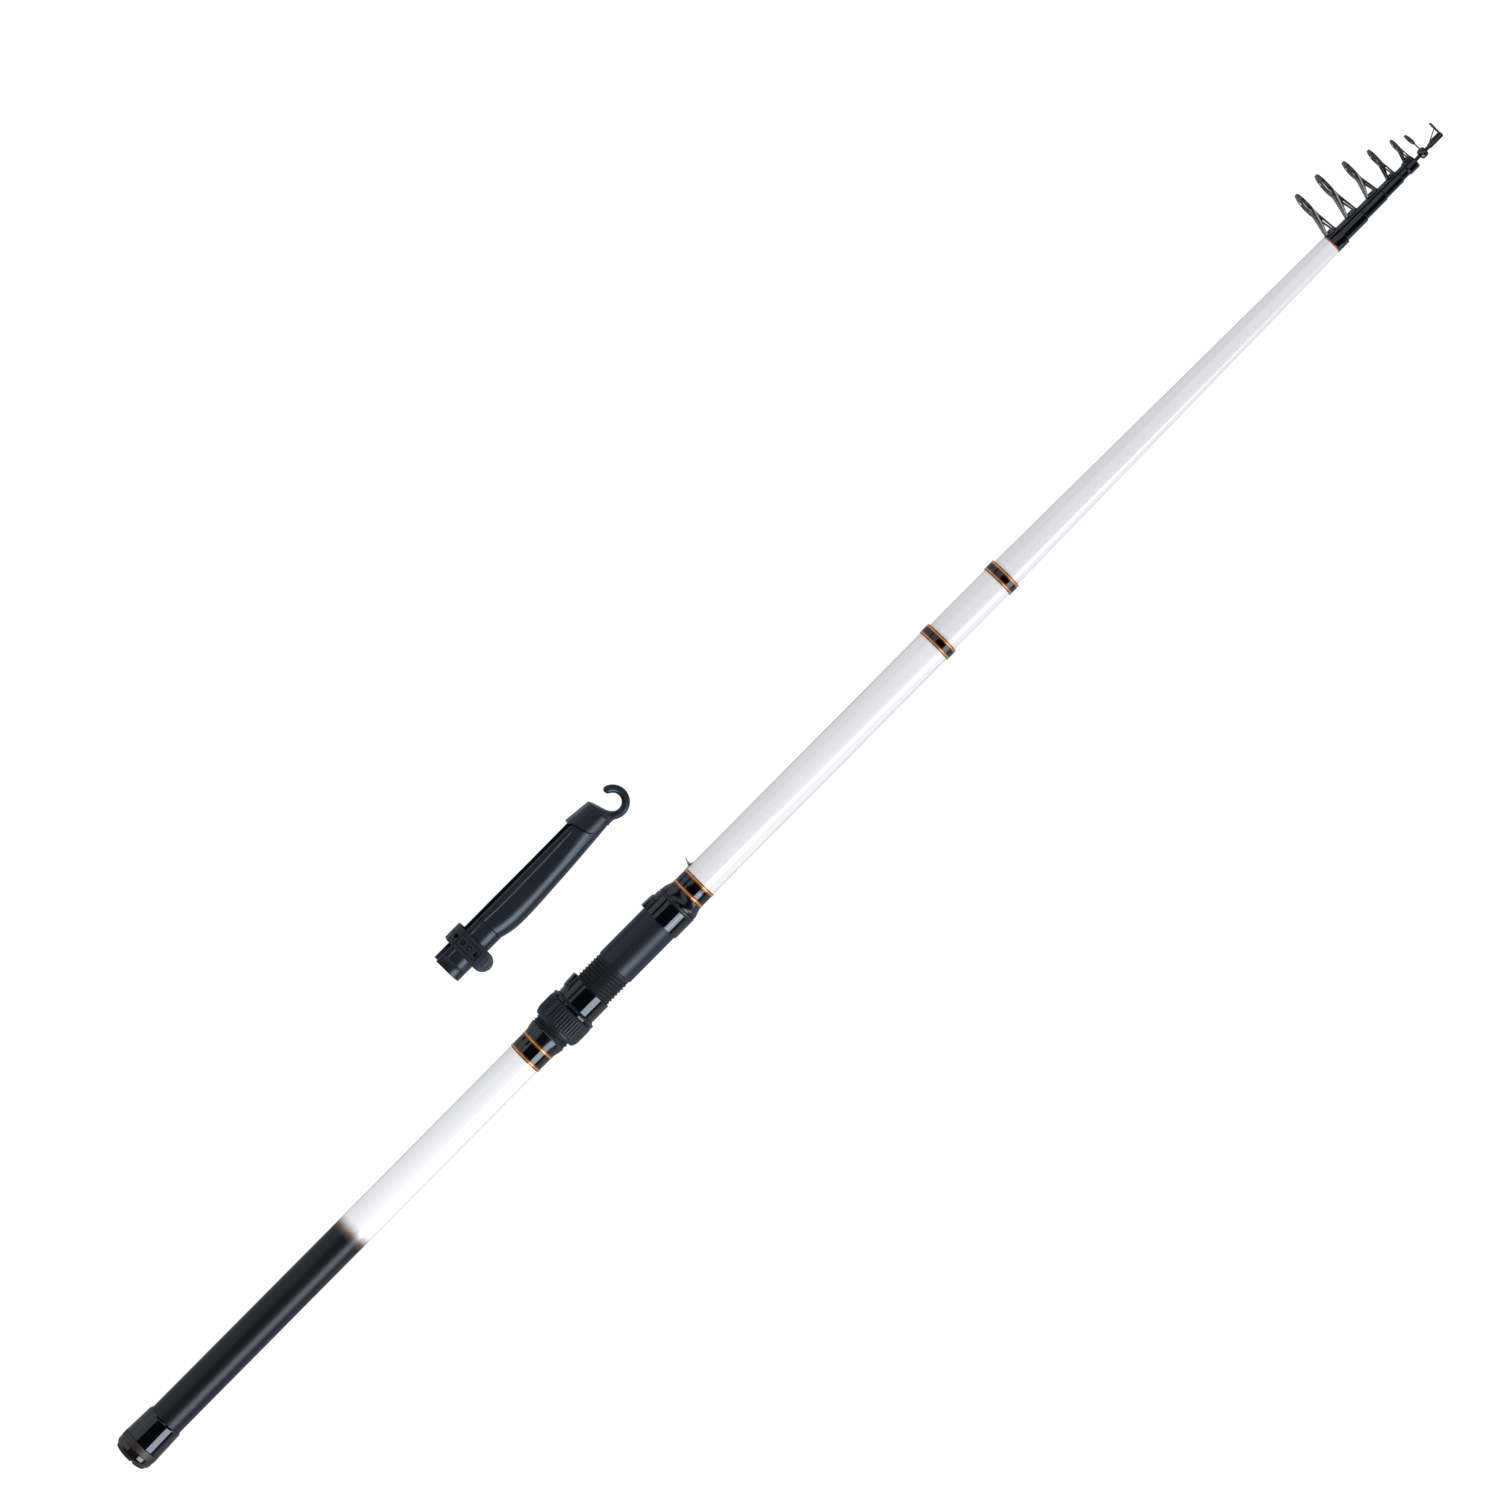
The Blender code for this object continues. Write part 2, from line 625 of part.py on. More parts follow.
def make_seat(body):
    station = REAR_WRAP_STATION
    trim = TRIM_DIAMETER / 2
    wrap = WRAP_DIAMETER / 2
    small = CONE_SMALL_DIAMETER / 2
    bore = SLEEVE_BORE
    turned("rear_trim_a", tube_profile(station, station + TRIM_LENGTH, trim, bore), body, "gold")
    station += TRIM_LENGTH + FIT_GAP
    turned("rear_wrap", tube_profile(station, station + REAR_WRAP_LENGTH, wrap, bore), body, "gloss_black")
    station += REAR_WRAP_LENGTH + FIT_GAP
    turned("rear_trim_b", tube_profile(station, station + TRIM_LENGTH, trim, bore), body, "gold")
    station += TRIM_LENGTH + FIT_GAP
    front = station + REAR_CONE_LENGTH
    turned("rear_cone", [
        (station, small),
        (front, REAR_CONE_DIAMETER / 2),
        (front, bore),
        (station, bore),
    ], body, "gloss_black")
    barrel_start = front + FIT_GAP
    hood_front = make_barrel(barrel_start, body)
    return barrel_start, hood_front


def make_barrel(start, body):
    outer = BARREL_DIAMETER / 2
    root = outer - THREAD_DEPTH
    turns = round(THREAD_LENGTH / THREAD_PITCH)
    thread_end = start + turns * THREAD_PITCH
    end = start + THREAD_LENGTH + BARREL_PLAIN_LENGTH
    profile = [(start, root)]
    for i in range(turns):
        profile.append((start + (i + 0.5) * THREAD_PITCH, outer))
        profile.append((start + (i + 1) * THREAD_PITCH, root))
    profile += [(thread_end + THREAD_DEPTH, outer), (end, outer), (end, SLEEVE_BORE), (start, SLEEVE_BORE)]
    turned("seat_barrel", profile, body, "matte_slate")
    station = end - SEAT_RING_LENGTH
    ring = tube_profile(station, end, HOOD_DIAMETER / 2, HOOD_BORE)
    turned("seat_ring", ring, body, "matte_slate")
    hood_front = station - FIT_GAP
    make_hood("fixed_hood", hood_front - FIXED_HOOD_LENGTH, FIXED_HOOD_LENGTH, body, True)
    station = end + FIT_GAP
    front = station + FRONT_CONE_LENGTH
    turned("front_cone", [
        (station, FRONT_CONE_DIAMETER / 2),
        (front, CONE_SMALL_DIAMETER / 2),
        (front, SLEEVE_BORE),
        (station, SLEEVE_BORE),
    ], body, "gloss_black")
    station = front + FIT_GAP
    trim = TRIM_DIAMETER / 2
    turned("front_trim_a", tube_profile(station, station + TRIM_LENGTH, trim, SLEEVE_BORE), body, "gold")
    station += TRIM_LENGTH + FIT_GAP
    wrap = tube_profile(station, station + FRONT_WRAP_LENGTH, WRAP_DIAMETER / 2, SLEEVE_BORE)
    turned("front_wrap", wrap, body, "gloss_black")
    station += FRONT_WRAP_LENGTH + FIT_GAP
    turned("front_trim_b", tube_profile(station, station + TRIM_LENGTH, trim, SLEEVE_BORE), body, "gold")
    return station + TRIM_LENGTH


def make_hood(name, start, length, body, faces_rear):
    # A ring with a hump on the guides' side. The hump's pocket takes one end of a reel's foot.
    outer = HOOD_DIAMETER / 2
    hood = turned(name, tube_profile(start, start + length, outer, HOOD_BORE), body, "gloss_black")
    low = outer - HUMP_WALL / 2
    hump = [
        (0, HUMP_RADIUS),
        (HUMP_LENGTH - HUMP_BEVEL, HUMP_RADIUS - HUMP_FALL),
        (HUMP_LENGTH, low),
        (0, low),
    ]
    pocket_radius = HUMP_RADIUS - HUMP_WALL
    pocket = [
        (-HUMP_WALL, pocket_radius),
        (HUMP_LENGTH - 2 * HUMP_WALL, pocket_radius - HUMP_FALL),
        (HUMP_LENGTH - 2 * HUMP_WALL, HOOD_BORE - HUMP_WALL / 2),
        (-HUMP_WALL, HOOD_BORE - HUMP_WALL / 2),
    ]
    if not faces_rear:
        hump = [(length - x, r) for x, r in hump]
        pocket = [(length - x, r) for x, r in pocket]
    raised = arc_sector(hump, HUMP_HALF_ANGLE, 6)
    join_solids(hood, add_piece("tool", raised, body, "gloss_black", hood.location), "UNION")
    cut(hood, arc_sector(pocket, POCKET_HALF_ANGLE, 6))
    return hood


def make_lock(slide, turning, barrel_start):
    start = barrel_start + NUT_STATION_ON_BARREL
    outer = NUT_DIAMETER / 2
    bore = BARREL_DIAMETER / 2 + FIT_GAP
    outline = []
    steps = 2 * NUT_RIBS_IN_GROUP + 2
    count = NUT_RIB_GROUPS * steps
    for i in range(count):
        place = i % steps
        raised = place >= 2 * NUT_RIBS_IN_GROUP - 1 or place % 2 == 0
        radius = outer if raised else outer - NUT_RIB_DEPTH
        angle = NUT_TURN + math.tau * i / count
        outline.append((radius * math.cos(angle), radius * math.sin(angle)))
    grip = prism(outline, (NUT_LENGTH - NUT_FLANGE_LENGTH) / 2)
    turn = Matrix.Rotation(math.pi / 2, 4, "Y")
    middle = NUT_FLANGE_LENGTH + (NUT_LENGTH - NUT_FLANGE_LENGTH) / 2
    bmesh.ops.transform(grip, matrix=Matrix.Translation((middle, 0, 0)) @ turn, verts=grip.verts)
    flange = NUT_FLANGE_DIAMETER / 2
    body_end = NUT_FLANGE_LENGTH + NUT_RIB_DEPTH
    rear = spun([
        (0, 0),
        (0, flange - NUT_RIB_DEPTH),
        (NUT_RIB_DEPTH, flange),
        (body_end, flange),
        (body_end, 0),
    ], ROUND_SIDES)
    nut = shaped("lock_nut", grip, [rear], turning, "matte_slate", (start - turning["station"], 0, 0))
    cut(nut, drum(-NUT_RIB_DEPTH, NUT_LENGTH + NUT_RIB_DEPTH, bore))
    ring_start = start + NUT_LENGTH + FIT_GAP
    ring_end = ring_start + NUT_RING_LENGTH
    ring = outer - NUT_RIB_DEPTH / 2
    turned("nut_ring", [
        (ring_start, ring),
        (ring_start + NUT_RING_CREST, ring),
        (ring_end - NUT_RING_NOSE, ring - NUT_RING_FALL),
        (ring_end, HOOD_DIAMETER / 2 + FIT_GAP),
        (ring_end, bore),
        (ring_start, bore),
    ], turning, "gloss_black")
    make_hood("moving_hood", ring_end + FIT_GAP, MOVING_HOOD_LENGTH, slide, False)


# Hook keeper

def make_keeper(body, loop_body, start):
    seat = SLEEVE_BORE
    foot = arc_sector(
        tube_profile(0, KEEPER_FOOT_LENGTH, seat + KEEPER_FOOT_THICKNESS, seat), KEEPER_FOOT_HALF_ANGLE, 2
    )
    eye_x = KEEPER_FOOT_LENGTH / 2
    eye_y = keeper_axis_height()
    radius = KEEPER_EYE_RADIUS
    eye = []
    for i in range(9):
        angle = math.pi * i / 8
        eye.append((eye_x + radius * math.cos(angle), eye_y + radius * math.sin(angle)))
    base = seat + KEEPER_FOOT_THICKNESS / 2
    eye += [(eye_x - radius, base), (eye_x + radius, base)]
    location = (start - body["station"], 0, 0)
    piece = shaped("keeper_foot", foot, [prism(eye, KEEPER_EYE_WIDTH / 2)], body, "steel", location)
    reach = KEEPER_EYE_WIDTH
    cut(piece, rod_between((eye_x, eye_y, -reach), (eye_x, eye_y, reach), keeper_hole(), 12))
    make_keeper_loop(loop_body)


def keeper_hole():
    # The eye's bore, wide enough across its flats for the wire.
    return (KEEPER_WIRE_DIAMETER + 2 * FIT_GAP) / math.cos(math.pi / 12)


def keeper_axis_height():
    return SLEEVE_BORE + KEEPER_FOOT_THICKNESS + keeper_hole() / 2 + KEEPER_WIRE_DIAMETER / 4


def make_keeper_loop(body):
    # A closed wire loop with a straight bar through the eye, leaning towards the tip.
    half = KEEPER_LOOP_WIDTH / 2
    bar = half - KEEPER_CORNER_WIDTH
    centres = [(0, -bar), (0, bar), (KEEPER_CORNER_HEIGHT, half)]
    top = KEEPER_LOOP_HEIGHT - half
    for i in range(9):
        angle = math.pi * i / 8
        centres.append((top + half * math.sin(angle), half * math.cos(angle)))
    centres.append((KEEPER_CORNER_HEIGHT, -half))
    count = len(centres)
    lean = Matrix.Rotation(-KEEPER_LEAN, 3, "Z")
    rings = []
    for i in range(count):
        before = Vector(centres[i - 1])
        here = Vector(centres[i])
        after = Vector(centres[(i + 1) % count])
        along = ((here - before).normalized() + (after - here).normalized()).normalized()
        across = Vector((-along.y, along.x))
        ring = []
        for k in range(6):
            angle = math.tau * k / 6
            spread = across * (math.cos(angle) * KEEPER_WIRE_DIAMETER / 2)
            side = math.sin(angle) * KEEPER_WIRE_DIAMETER / 2
            ring.append(lean @ Vector((side, here.x + spread.x, here.y + spread.y)))
        rings.append(ring)
    add_piece("keeper_loop", skin(rings, True), body, "steel")


# Guides

def ring_solids(diameter, depth, frame_wall, insert_wall, sides):
    # The frame's ring and the smooth insert that sits in it, both round the X axis.
    outer = diameter / 2
    inner = outer - frame_wall
    half = depth / 2
    bevel = frame_wall * FRAME_BEVEL_SHARE
    frame = spun([
        (-half, outer - bevel),
        (-half + bevel, outer),
        (half - bevel, outer),
        (half, outer - bevel),
        (half, inner),
        (-half, inner),
    ], sides)
    seat = inner - FIT_GAP
    hole = seat - insert_wall
    lip = half + insert_wall * INSERT_LIP_SHARE
    edge = seat - insert_wall * INSERT_EASE_SHARE
    flat = half * INSERT_FLAT_SHARE
    insert = spun([
        (-lip, seat),
        (lip, seat),
        (lip, edge),
        (flat, hole),
        (-flat, hole),
        (-lip, edge),
    ], sides)
    return frame, insert


def leg_solid(guide, foot_top, side):
    # One side's leg: a strip from the ring's side that forks above the foot.
    half_foot = guide.foot_length / 2
    ring_x = RING_FORWARD
    top = guide.ring_height
    bottom = foot_top * math.cos(LEG_FOOT_ANGLE) - FOOT_THICKNESS / 2
    fork = bottom + (top - bottom) * LEG_FORK_SHARE
    outline = [
        (ring_x - LEG_TOP_WIDTH / 2, top),
        (ring_x + LEG_TOP_WIDTH / 2, top),
        (half_foot, bottom),
        (half_foot - LEG_FOOT_WIDTH, bottom),
        (ring_x, fork),
        (-half_foot + LEG_FOOT_WIDTH, bottom),
        (-half_foot, bottom),
    ]
    foot_z = foot_top * math.sin(LEG_FOOT_ANGLE)
    ring_z = guide.ring_diameter / 2 - guide.frame_wall / 2
    bm = prism(outline, LEG_THICKNESS / 2)
    for vert in bm.verts:
        share = (vert.co.y - bottom) / (top - bottom)
        vert.co.z = side * (foot_z + (ring_z - foot_z) * share) + vert.co.z
    return bm


def make_guide_frame(number, guide, foot_centre, seat_radius, body, sides=20):
    seat = seat_radius + FIT_GAP
    foot_top = seat + FOOT_THICKNESS
    half_foot = guide.foot_length / 2
    bevel = FOOT_THICKNESS / 2
    foot = arc_sector([
        (-half_foot, foot_top - bevel),
        (-half_foot + bevel, foot_top),
        (half_foot - bevel, foot_top),
        (half_foot, foot_top - bevel),
        (half_foot, seat),
        (-half_foot, seat),
    ], FOOT_HALF_ANGLE, 6)
    frame_ring, insert = ring_solids(
        guide.ring_diameter, guide.ring_depth, guide.frame_wall, guide.insert_wall, sides
    )
    place = Matrix.Translation((RING_FORWARD, guide.ring_height, 0)) @ Matrix.Rotation(-GUIDE_LEAN, 4, "Z")
    bmesh.ops.transform(frame_ring, matrix=place, verts=frame_ring.verts)
    bmesh.ops.transform(insert, matrix=place, verts=insert.verts)
    legs = [leg_solid(guide, foot_top, side) for side in (1, -1)]
    location = (foot_centre - body["station"], 0, 0)
    frame = shaped(f"guide_{number}_frame", foot, legs + [frame_ring], body, "gunmetal", location)
    # The legs stop at the ring's inner wall, clear of the insert.
    inner = guide.ring_diameter / 2 - guide.frame_wall
    hole = drum(-2 * guide.ring_depth, 2 * guide.ring_depth, inner, sides)
    bmesh.ops.transform(hole, matrix=place, verts=hole.verts)
    cut(frame, hole)
    add_piece(f"guide_{number}_ring", insert, body, "ceramic", location)


def make_floating_guide(number, guide, rear, body):
    # The sleeve's bore fits section 4 where the guide stops on it, fully drawn.
    bore = section_4_radius(guide.station) + FIT_GAP
    outer = bore + guide.sleeve_wall
    front = rear + guide.sleeve_length
    seat = outer
    if number == 5:
        collar = front - COLLAR_LENGTH
        seat = outer + COLLAR_STEP
        profile = [(rear, outer), (collar - COLLAR_STEP, outer), (collar, seat), (front, seat),
                   (front, bore), (rear, bore)]
    else:
        profile = tube_profile(rear, front, outer, bore)
    turned(f"guide_{number}_sleeve", profile, body, "gloss_black")
    foot_centre = front - guide.foot_length / 2 - FIT_GAP
    make_guide_frame(number, guide, foot_centre, seat, body, 20 if number < 4 else SMALL_SIDES)
    return front


def make_guide_6(guide, rear, body):
    bore = section_4_radius(guide.station) + FIT_GAP
    outer = bore + guide.sleeve_wall
    length = guide.sleeve_length
    profile = [(0, bore)]
    for i in range(5):
        angle = math.pi * i / 4
        fall = BEAD_ROUNDING * (1 - math.sin(angle))
        profile.append((length * (1 - math.cos(angle)) / 2, outer - fall))
    profile.append((length, bore))
    bead = spun(profile, SMALL_SIDES)
    frame_ring, insert = ring_solids(
        guide.ring_diameter, guide.ring_depth, guide.frame_wall, guide.insert_wall, SMALL_SIDES
    )
    lean = Matrix.Rotation(-GUIDE_6_LEAN, 4, "Z")
    place = Matrix.Translation((length / 2, guide.ring_height, 0)) @ lean
    bmesh.ops.transform(frame_ring, matrix=place, verts=frame_ring.verts)
    bmesh.ops.transform(insert, matrix=place, verts=insert.verts)
    foot = (length / 2 - math.sin(GUIDE_6_LEAN) * guide.ring_height / 2, outer - GUIDE_6_WIRE, 0)
    top = place @ Vector((0, -guide.ring_diameter / 2 + guide.frame_wall / 2, 0))
    wire = rod_between(foot, top, GUIDE_6_WIRE)
    location = (rear - body["station"], 0, 0)
    shaped("guide_6_frame", bead, [wire, frame_ring], body, "gunmetal", location)
    add_piece("guide_6_ring", insert, body, "ceramic", location)


def make_tip_top(body):
    bore = tip_socket_radius()
    outer = bore + TIP_TUBE_WALL
    end = TIP_TUBE_LENGTH
    location = (TIP_TUBE_START - body["station"], 0, 0)
    tube = tip_tube_solid(bore, outer, end)
    add_piece("tip_tube", tube, body, "gunmetal", location)
    frame_ring, insert = ring_solids(
        TIP_RING_DIAMETER, TIP_RING_DEPTH, TIP_FRAME_WALL, TIP_INSERT_WALL, SMALL_SIDES
    )
    ring_x = end - TIP_RING_DEPTH / 2 - TIP_TUBE_WALL
    place = Matrix.Translation((ring_x, TIP_RING_HEIGHT, 0))
    bmesh.ops.transform(frame_ring, matrix=place, verts=frame_ring.verts)
    bmesh.ops.transform(insert, matrix=place, verts=insert.verts)
    seat = outer + FIT_GAP
    clip_start = ring_x - TIP_BRACE_REACH - TIP_WIRE
    clip_end = ring_x + TIP_RING_DEPTH / 2
    clip_profile = tube_profile(clip_start, clip_end, seat + TIP_FRAME_WALL, seat)
    clip = arc_sector(clip_profile, TIP_CLIP_HALF_ANGLE, 6)
    side_z = TIP_RING_DIAMETER / 2 - TIP_FRAME_WALL / 2
    foot_y = (seat + TIP_FRAME_WALL / 2) * math.cos(TIP_LEG_ANGLE)
    foot_z = (seat + TIP_FRAME_WALL / 2) * math.sin(TIP_LEG_ANGLE)
    wires = [
        rod_between((ring_x, foot_y, side * foot_z), (ring_x, TIP_RING_HEIGHT, side * side_z), TIP_WIRE)
        for side in (1, -1)
    ]
    low = TIP_RING_HEIGHT - side_z
    wires.append(rod_between((ring_x - TIP_BRACE_REACH, seat, 0), (ring_x, low, 0), TIP_WIRE))
    frame = shaped("tip_frame", clip, wires + [frame_ring], body, "gunmetal", location)
    inner = TIP_RING_DIAMETER / 2 - TIP_FRAME_WALL
    hole = drum(-TIP_WIRE, TIP_WIRE, inner, SMALL_SIDES)
    bmesh.ops.transform(hole, matrix=place, verts=hole.verts)
    cut(frame, hole)
    add_piece("tip_ring", insert, body, "ceramic", location)


def tip_socket_radius():
    reach = SECTION_4_DRAWN_REACH - TIP_SOCKET_DEPTH
    return section_4_radius(reach) + FIT_GAP


def tip_tube_solid(bore, outer, end):
    return spun([
        (TIP_SOCKET_DEPTH, 0),
        (TIP_SOCKET_DEPTH, bore),
        (0, bore),
        (0, outer),
        (end - TIP_TUBE_WALL, outer),
        (end, outer - TIP_TUBE_WALL),
        (end, 0),
    ], 12)


# Tip cover

def cover_outline(radius, back, reach, steps=8):
    # An open U of (y, z) points, from the near rim round the back to the far rim, narrower at the mouth.
    rim = (radius - (reach + back) * math.sin(COVER_LEAN)) / math.cos(COVER_LEAN)
    points = [(reach, rim)]
    start = math.pi / 2 - COVER_LEAN
    for i in range(steps + 1):
        angle = start + (math.tau - 2 * start) * i / steps
        points.append((radius * math.cos(angle) - back, radius * math.sin(angle)))
    points.append((reach, -rim))
    return points


def seam_shift(y):
    # How far forward of its mouth edge the hood's seam lies, at a reach of y.
    share = (HOOD_REACH - y) / (HOOD_REACH + COVER_RADIUS - NECK_TUCK)
    return SEAM_SWEEP * max(share, 0) ** SEAM_POWER


def trough(name, stations, body, finish, seam_at_front):
    # A U-shaped shell through (x, radius, back, reach) stations.
    bm = bmesh.new()
    rows = []
    for index, (x, radius, back, reach) in enumerate(stations):
        slanted = seam_at_front and index == len(stations) - 1
        row = []
        for size in (radius, radius - COVER_WALL):
            points = cover_outline(size, back, reach)
            row.append([bm.verts.new((x + (seam_shift(y) if slanted else 0), y, z)) for y, z in points])
        rows.append(row)
    count = len(rows[0][0])
    for (outer_a, inner_a), (outer_b, inner_b) in zip(rows, rows[1:]):
        for i in range(count - 1):
            bm.faces.new((outer_a[i], outer_a[i + 1], outer_b[i + 1], outer_b[i]))
            bm.faces.new((inner_a[i], inner_b[i], inner_b[i + 1], inner_a[i + 1]))
        for i in (0, count - 1):
            bm.faces.new((outer_a[i], outer_b[i], inner_b[i], inner_a[i]))
    for outer, inner in (rows[0], rows[-1]):
        for i in range(count - 1):
            bm.faces.new((outer[i], outer[i + 1], inner[i + 1], inner[i]))
    return add_piece(name, bm, body, finish)


def hood_outline(section, inset, steps=8):
    # A closed D of (y, z) points, round at the back and with rounded corners at its mouth side.
    half_width = section.half_width - inset
    centre = section.half_width - section.back
    reach = section.reach - inset
    corner = min(HOOD_CORNER - inset, half_width / 2, (reach - centre) / 2)
    wall_angle = math.pi / 2 - COVER_LEAN
    points = []
    for i in range(steps + 1):
        angle = wall_angle + (math.tau - 2 * wall_angle) * i / steps
        points.append((centre + half_width * math.cos(angle), half_width * math.sin(angle)))
    corner_y = reach - corner
    corner_z = (half_width - corner - (corner_y - centre) * math.sin(COVER_LEAN)) / math.cos(COVER_LEAN)
    for side, start in ((-1, -wall_angle), (1, 0)):
        for i in range(3):
            angle = start + wall_angle * i / 2
            points.append((corner_y + corner * math.cos(angle), side * corner_z + corner * math.sin(angle)))
    return points


def hood_rings(bm, sections, inset):
    # The first ring follows the seam, the others are flat.
    rings = []
    for index, section in enumerate(sections):
        x = SEAM_STATION + section.distance
        outline = hood_outline(section, inset)
        rings.append([bm.verts.new((x + (seam_shift(y) if index == 0 else 0), y, z)) for y, z in outline])
    return rings


def make_hood_cover(body):
    # The closed front of the cover, hollow and open at its seam, with the line hook on its nose.
    mouth = HoodSection(0, COVER_RADIUS + HOOD_PROUD, COVER_RADIUS - NECK_TUCK + HOOD_PROUD, HOOD_REACH)
    inner_end = HOOD_SHOULDER._replace(distance=HOOD_SHOULDER.distance - COVER_WALL)
    bm = bmesh.new()
    outer = hood_rings(bm, (mouth, HOOD_SHOULDER, HOOD_NOSE, HOOD_FRONT), 0)
    inner = hood_rings(bm, (mouth, inner_end), COVER_WALL)
    count = len(outer[0])
    for rings in (outer, inner):
        for first, second in zip(rings, rings[1:]):
            for i in range(count):
                j = (i + 1) % count
                bm.faces.new((first[i], first[j], second[j], second[i]))
        bm.faces.new(rings[-1])
    for i in range(count):
        j = (i + 1) % count
        bm.faces.new((outer[0][i], outer[0][j], inner[0][j], inner[0][i]))
    hood = add_piece("cover_hood", bm, body, "matte_slate")
    join_solids(hood, make_hook(body), "UNION")


def make_hook(body):
    # The open line hook: an oval bar bent round the hook's centre, with a round end.
    middle = HOOK_INNER_RADIUS + HOOK_THICKNESS / 2
    steps = 16
    turn = HOOK_END - HOOK_START
    stations = [(HOOK_START + turn * i / steps, 1.0) for i in range(steps + 1)]
    for end_angle in (math.radians(40), math.radians(68)):
        reach = HOOK_THICKNESS / 2 * math.sin(end_angle) / middle
        stations.append((HOOK_END + reach, math.cos(end_angle)))
    centre = Vector((SEAM_STATION + HOOK_CENTRE_DISTANCE, HOOK_CENTRE_REACH, 0))
    rings = []
    for angle, size in stations:
        out = Vector((math.cos(angle), math.sin(angle), 0))
        ring = []
        for k in range(10):
            around = math.tau * k / 10
            point = centre + out * (middle + size * HOOK_THICKNESS / 2 * math.cos(around))
            point.z = size * HOOK_DEPTH / 2 * math.sin(around)
            ring.append(point)
        rings.append(ring)
    return add_piece("tool", skin(rings), body, "matte_slate")


def make_cover(body):
    radius = COVER_RADIUS
    depth = COVER_MOUTH_DEPTH
    collar = [(0, radius, 0, depth), (COVER_COLLAR_LENGTH, radius, 0, depth)]
    trough("cover_collar", collar, body, "matte_slate", False)
    # The last station carries the seam, short of the hood by the seam's gap.
    trough("cover_shell", [
        (SHELL_START, radius, 0, depth),
        (SHELL_START + BELLY_DISTANCE, radius + BELLY_WIDTH, BELLY_DEPTH - BELLY_WIDTH, depth),
        (SHELL_START + WAIST_DISTANCE, radius, BELLY_DEPTH / 2, depth),
        (SEAM_STATION - SEAM_GAP, radius, -NECK_TUCK, depth),
    ], body, "matte_slate", True)
    make_hood_cover(body)


# Strap of the tip cover

def wall_point(distance, level):
    # A (y, z) point a distance along the near wall, at a level above its outer face.
    along = Vector((math.cos(COVER_LEAN), -math.sin(COVER_LEAN)))
    out = Vector((math.sin(COVER_LEAN), math.cos(COVER_LEAN)))
    return along * distance + out * (COVER_RADIUS + level)


def band_place(distance):
    # The band's middle (y, z) a distance past the hinge, and how far its outer face has turned from +Z.
    straight = RIM_DISTANCE - STRAP_HINGE_DISTANCE
    if distance <= straight:
        return wall_point(STRAP_HINGE_DISTANCE + distance, STRAP_LEVEL), COVER_LEAN
    centre = wall_point(RIM_DISTANCE, STRAP_LEVEL - STRAP_CORNER)
    angle = COVER_LEAN + (distance - straight) / STRAP_CORNER
    past = max(angle - math.pi / 2, 0) * STRAP_CORNER
    angle = min(angle, math.pi / 2)
    bend = Vector((math.sin(angle), math.cos(angle))) * STRAP_CORNER
    return centre + bend - Vector((0, past)), angle


def strap_hole(station, point, tilt):
    radius = STRAP_HOLE_DIAMETER / 2
    bm = drum(-2 * STRAP_THICKNESS, 2 * STRAP_THICKNESS, radius, 12)
    turn = Matrix.Rotation(-tilt, 4, "X") @ Matrix.Rotation(math.pi / 2, 4, "Y")
    bmesh.ops.transform(bm, matrix=Matrix.Translation((station, point.x, point.y)) @ turn, verts=bm.verts)
    return bm


def make_band(body):
    # From beside the hinge round the open mouth to the far wall.
    start = STRAP_THICKNESS / 2 + FIT_GAP
    straight = RIM_DISTANCE - STRAP_HINGE_DISTANCE
    bend = STRAP_CORNER * (math.pi / 2 - COVER_LEAN)
    near = [band_place(start)[0]]
    near += [band_place(straight + bend * i / 4)[0] for i in range(5)]
    far = [Vector((point.x, -point.y)) for point in reversed(near[1:])]
    root = wall_point(RIM_DISTANCE - STRAP_ROOT_LENGTH, STRAP_LEVEL)
    path = near + far + [Vector((root.x, -root.y))]
    bm = ribbon(path, STRAP_THICKNESS, STRAP_WIDTH / 2)
    bmesh.ops.transform(bm, matrix=Matrix.Translation((STRAP_STATION, 0, 0)), verts=bm.verts)
    band = add_piece("strap_band", bm, body, "rubber")
    for i in range(2):
        point, tilt = band_place(STRAP_BAND_HOLE + i * STRAP_HOLE_PITCH)
        cut(band, strap_hole(STRAP_STATION, point, tilt))


def ribbon(path, thickness, half_width):
    # A flat strap with (y, z) points along its middle.
    left = []
    right = []
    for i, point in enumerate(path):
        along = (path[min(i + 1, len(path) - 1)] - path[max(i - 1, 0)]).normalized()
        across = Vector((-along.y, along.x)) * (thickness / 2)
        left.append(point + across)
        right.append(point - across)
    bm = prism(left + right[::-1], half_width)
    for vert in bm.verts:
        vert.co = vert.co.zxy
    return bm


def tab_half_width(distance):
    # The tab widens from the hinge and ends in a half circle.
    half = (STRAP_WIDTH + (TAB_WIDTH - STRAP_WIDTH) * distance / TAB_LENGTH) / 2
    past = distance - (TAB_LENGTH - half)
    return math.sqrt(max(half ** 2 - max(past, 0) ** 2, 0))


